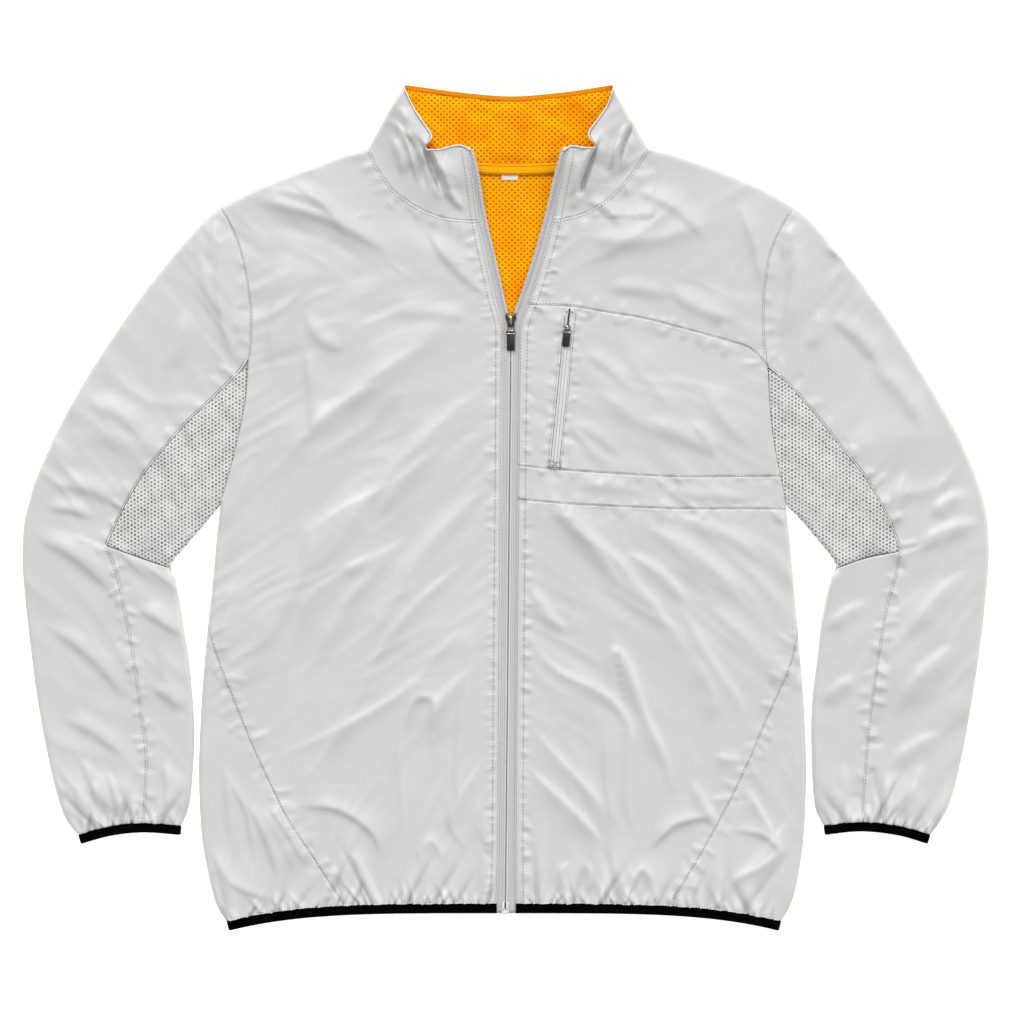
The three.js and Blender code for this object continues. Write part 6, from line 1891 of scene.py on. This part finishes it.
class JACKET_OT_stitches(bpy.types.Operator):
    """Sews the rows of topstitching along the seams"""

    bl_idname = "jacket.stitches"
    bl_label = "Topstitching"

    def execute(self, context):
        def on_cloth(*lines):
            return [(line, cloth_height) for line in lines]

        rows = {
            "fronts": on_cloth(stitched(RIGHT.front, 6.6, 1), stitched(LEFT.front, 7.8, -1),
                               stitched(RIGHT.front, 1.6, 1), stitched(LEFT.front, 1.6, -1)),
            "left_front": on_cloth(*(stitched(line, 1.9, 1) for line in (YOKE, UPPER, LOWER))),
            "pocket": on_cloth(*POCKET_SIDES),
            "neck": on_cloth(stitched(RIGHT.neck, 1.7, -1, 0.02),
                             stitched(LEFT.neck, 1.7, 1, 0.02)),
            "armholes": on_cloth(stitched(RIGHT.armhole, 1.7, -1, 0.5, 0.97),
                                 stitched(LEFT.armhole, 1.7, 1, 0.5, 0.97)),
            "sides": on_cloth(stitched(RIGHT.flank_seam, 1.7, -1, 0, 0.94),
                              stitched(LEFT.flank_seam, 1.7, 1, 0, 0.94)),
            "sleeves": [
                (stitched(h.under, 1.7, (-1, 1)[h.side]), outer_sleeve_height(h)) for h in HALVES
            ],
        }
        for half in HALVES:
            end = ("right", "left")[half.side]
            for name, off, radius, material in (
                ("piping_mesh_", 1.25, 0.55, "piping"), ("stitch_mesh_", 2.2, 0.25, "dark"),
            ):
                run = stitched(half.mesh, off, (-1, 1)[half.side], 0.01, 0.99).p
                path = lifted(run, 0.1, outer_sleeve_height(half))
                tube(name + end, path, radius, 6, material)
        low = [hem_line(-262, -11), hem_line(10, 257)]
        spots = np.vstack([line.at(np.linspace(0, 1, int(line.length / 2.6))) for line in low])
        spots[:, 1] += 0.4
        repeat_box("stitches_hem", laid(spots, [0.25] * len(spots), 0.3, cloth_height),
                   (2.0, 0.9, 0.7), "piping", 0.12)
        long = size("stitch")
        step = long + size("stitch_gap")
        for name, lines in rows.items():
            places = []
            for line, height in lines:
                count = max(1, int(line.length / step))
                share = (np.arange(count) + 0.5) / count
                spots = line.at(share)
                ahead = line.at(share + 0.004) - line.at(share - 0.004)
                far = from_fold(spots[:, 0], spots[:, 1])
                # Near a folded side the row follows the cloth as it rounds over.
                cos = np.maximum(0, 1 - far / ROLL)
                z = MIDDLE + (height(spots[:, 0], spots[:, 1]) - MIDDLE) * np.sqrt(1 - cos**2)
                for (x, y), d, level in zip(spots, ahead, z):
                    places.append(place_at(x, y, level + 0.05, math.atan2(d[1], d[0])))
            repeat_box("stitches_" + name, places, (long, 0.6, 0.5), "thread", 0.12)
        return {"FINISHED"}


# Broad soft lights: height and bearing in degrees, strength, and spread in degrees.
LIGHTS = [("key", 32, 112, 2.0, 30), ("fill", 32, 14, 1.2, 40), ("sheen", 62, 96, 0.6, 14)]
SKY_STRENGTH = 0.40
# The photo was taken from straight above: lens and sensor in mm, places in metres.
LENS, SENSOR = 96, 36
CAMERA_AT = (0.0060, -0.0040, 2.60)
CLIP_END = 50
FLOOR_HALF = 6


class JACKET_OT_stage(bpy.types.Operator):
    """Lays the pale floor and sets the lights and the camera"""

    bl_idname = "jacket.stage"
    bl_label = "Stage"

    def execute(self, context):
        scene = context.scene
        bm = bmesh.new()
        bmesh.ops.create_grid(bm, x_segments=1, y_segments=1, size=FLOOR_HALF)
        mesh = bpy.data.meshes.new("floor")
        bm.to_mesh(mesh)
        bm.free()
        floor = bpy.data.objects.new("floor", mesh)
        scene.collection.objects.link(floor)
        # A matt white acrylic sheet over a light box, so that it stays white beside the cloth.
        material, _, _ = finish("acrylic_sheet_matt_white", Base_Color=linear("#FBFBFB"),
                                Roughness=0.9, Emission_Color=(1.0, 1.0, 1.0),
                                Emission_Strength=0.8)
        mesh.materials.append(material)
        world = bpy.data.worlds.new("soft_room")
        scene.world = world
        world.use_nodes = True
        sky = world.node_tree.nodes["Background"]
        sky.inputs[0].default_value = (1, 1, 1, 1)
        sky.inputs[1].default_value = SKY_STRENGTH
        for name, height, round_z, strength, spread in LIGHTS:
            light = bpy.data.lights.new(name, "SUN")
            light.energy = strength
            light.angle = math.radians(spread)
            lamp = bpy.data.objects.new(name, light)
            flat = math.cos(math.radians(height))
            way = Vector((flat * math.cos(math.radians(round_z)),
                          flat * math.sin(math.radians(round_z)), math.sin(math.radians(height))))
            lamp.rotation_euler = way.to_track_quat("Z", "Y").to_euler()
            scene.collection.objects.link(lamp)
        camera = bpy.data.cameras.new("camera")
        camera.lens, camera.sensor_width = LENS, SENSOR
        camera.clip_end = CLIP_END
        holder = bpy.data.objects.new("camera", camera)
        holder.location = CAMERA_AT
        scene.collection.objects.link(holder)
        scene.camera = holder
        scene.view_settings.view_transform = "Standard"
        return {"FINISHED"}


OPERATORS = (
    JACKET_OT_stage, JACKET_OT_back, JACKET_OT_linings, JACKET_OT_body, JACKET_OT_sleeves,
    JACKET_OT_collar, JACKET_OT_bindings, JACKET_OT_front_zip, JACKET_OT_pocket,
    JACKET_OT_pulls, JACKET_OT_stitches,
)


class JACKET_PT_panel(bpy.types.Panel):
    """Lists the jacket's colours, sizes and pieces"""

    bl_idname = "JACKET_PT_panel"
    bl_label = "Jacket"
    bl_space_type = "VIEW_3D"
    bl_region_type = "UI"
    bl_category = "Jacket"

    def draw(self, context):
        for group in (context.scene.jacket_colours, context.scene.jacket_sizes):
            for key in group.__annotations__:
                self.layout.prop(group, key)
        for operator in OPERATORS:
            self.layout.operator(operator.bl_idname)


CLASSES = (JacketColours, JacketSizes, *OPERATORS, JACKET_PT_panel)


def register():
    """Adds the jacket's settings, operators and panel to Blender."""
    for made in CLASSES:
        bpy.utils.register_class(made)
    bpy.types.Scene.jacket_colours = bpy.props.PointerProperty(type=JacketColours)
    bpy.types.Scene.jacket_sizes = bpy.props.PointerProperty(type=JacketSizes)


def unregister():
    """Takes them all out again."""
    del bpy.types.Scene.jacket_sizes
    del bpy.types.Scene.jacket_colours
    for made in reversed(CLASSES):
        bpy.utils.unregister_class(made)


def main():
    """Builds the whole jacket."""
    register()
    make_materials(bpy.context.scene.jacket_colours)
    for operator in OPERATORS:
        group, name = operator.bl_idname.split(".")
        getattr(getattr(bpy.ops, group), name)()
    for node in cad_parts.values():
        if not node.data.materials or node.data.materials[0] is None:
            node.data.materials.append(MATERIALS["shell"])


if __name__ == "__main__":
    main()
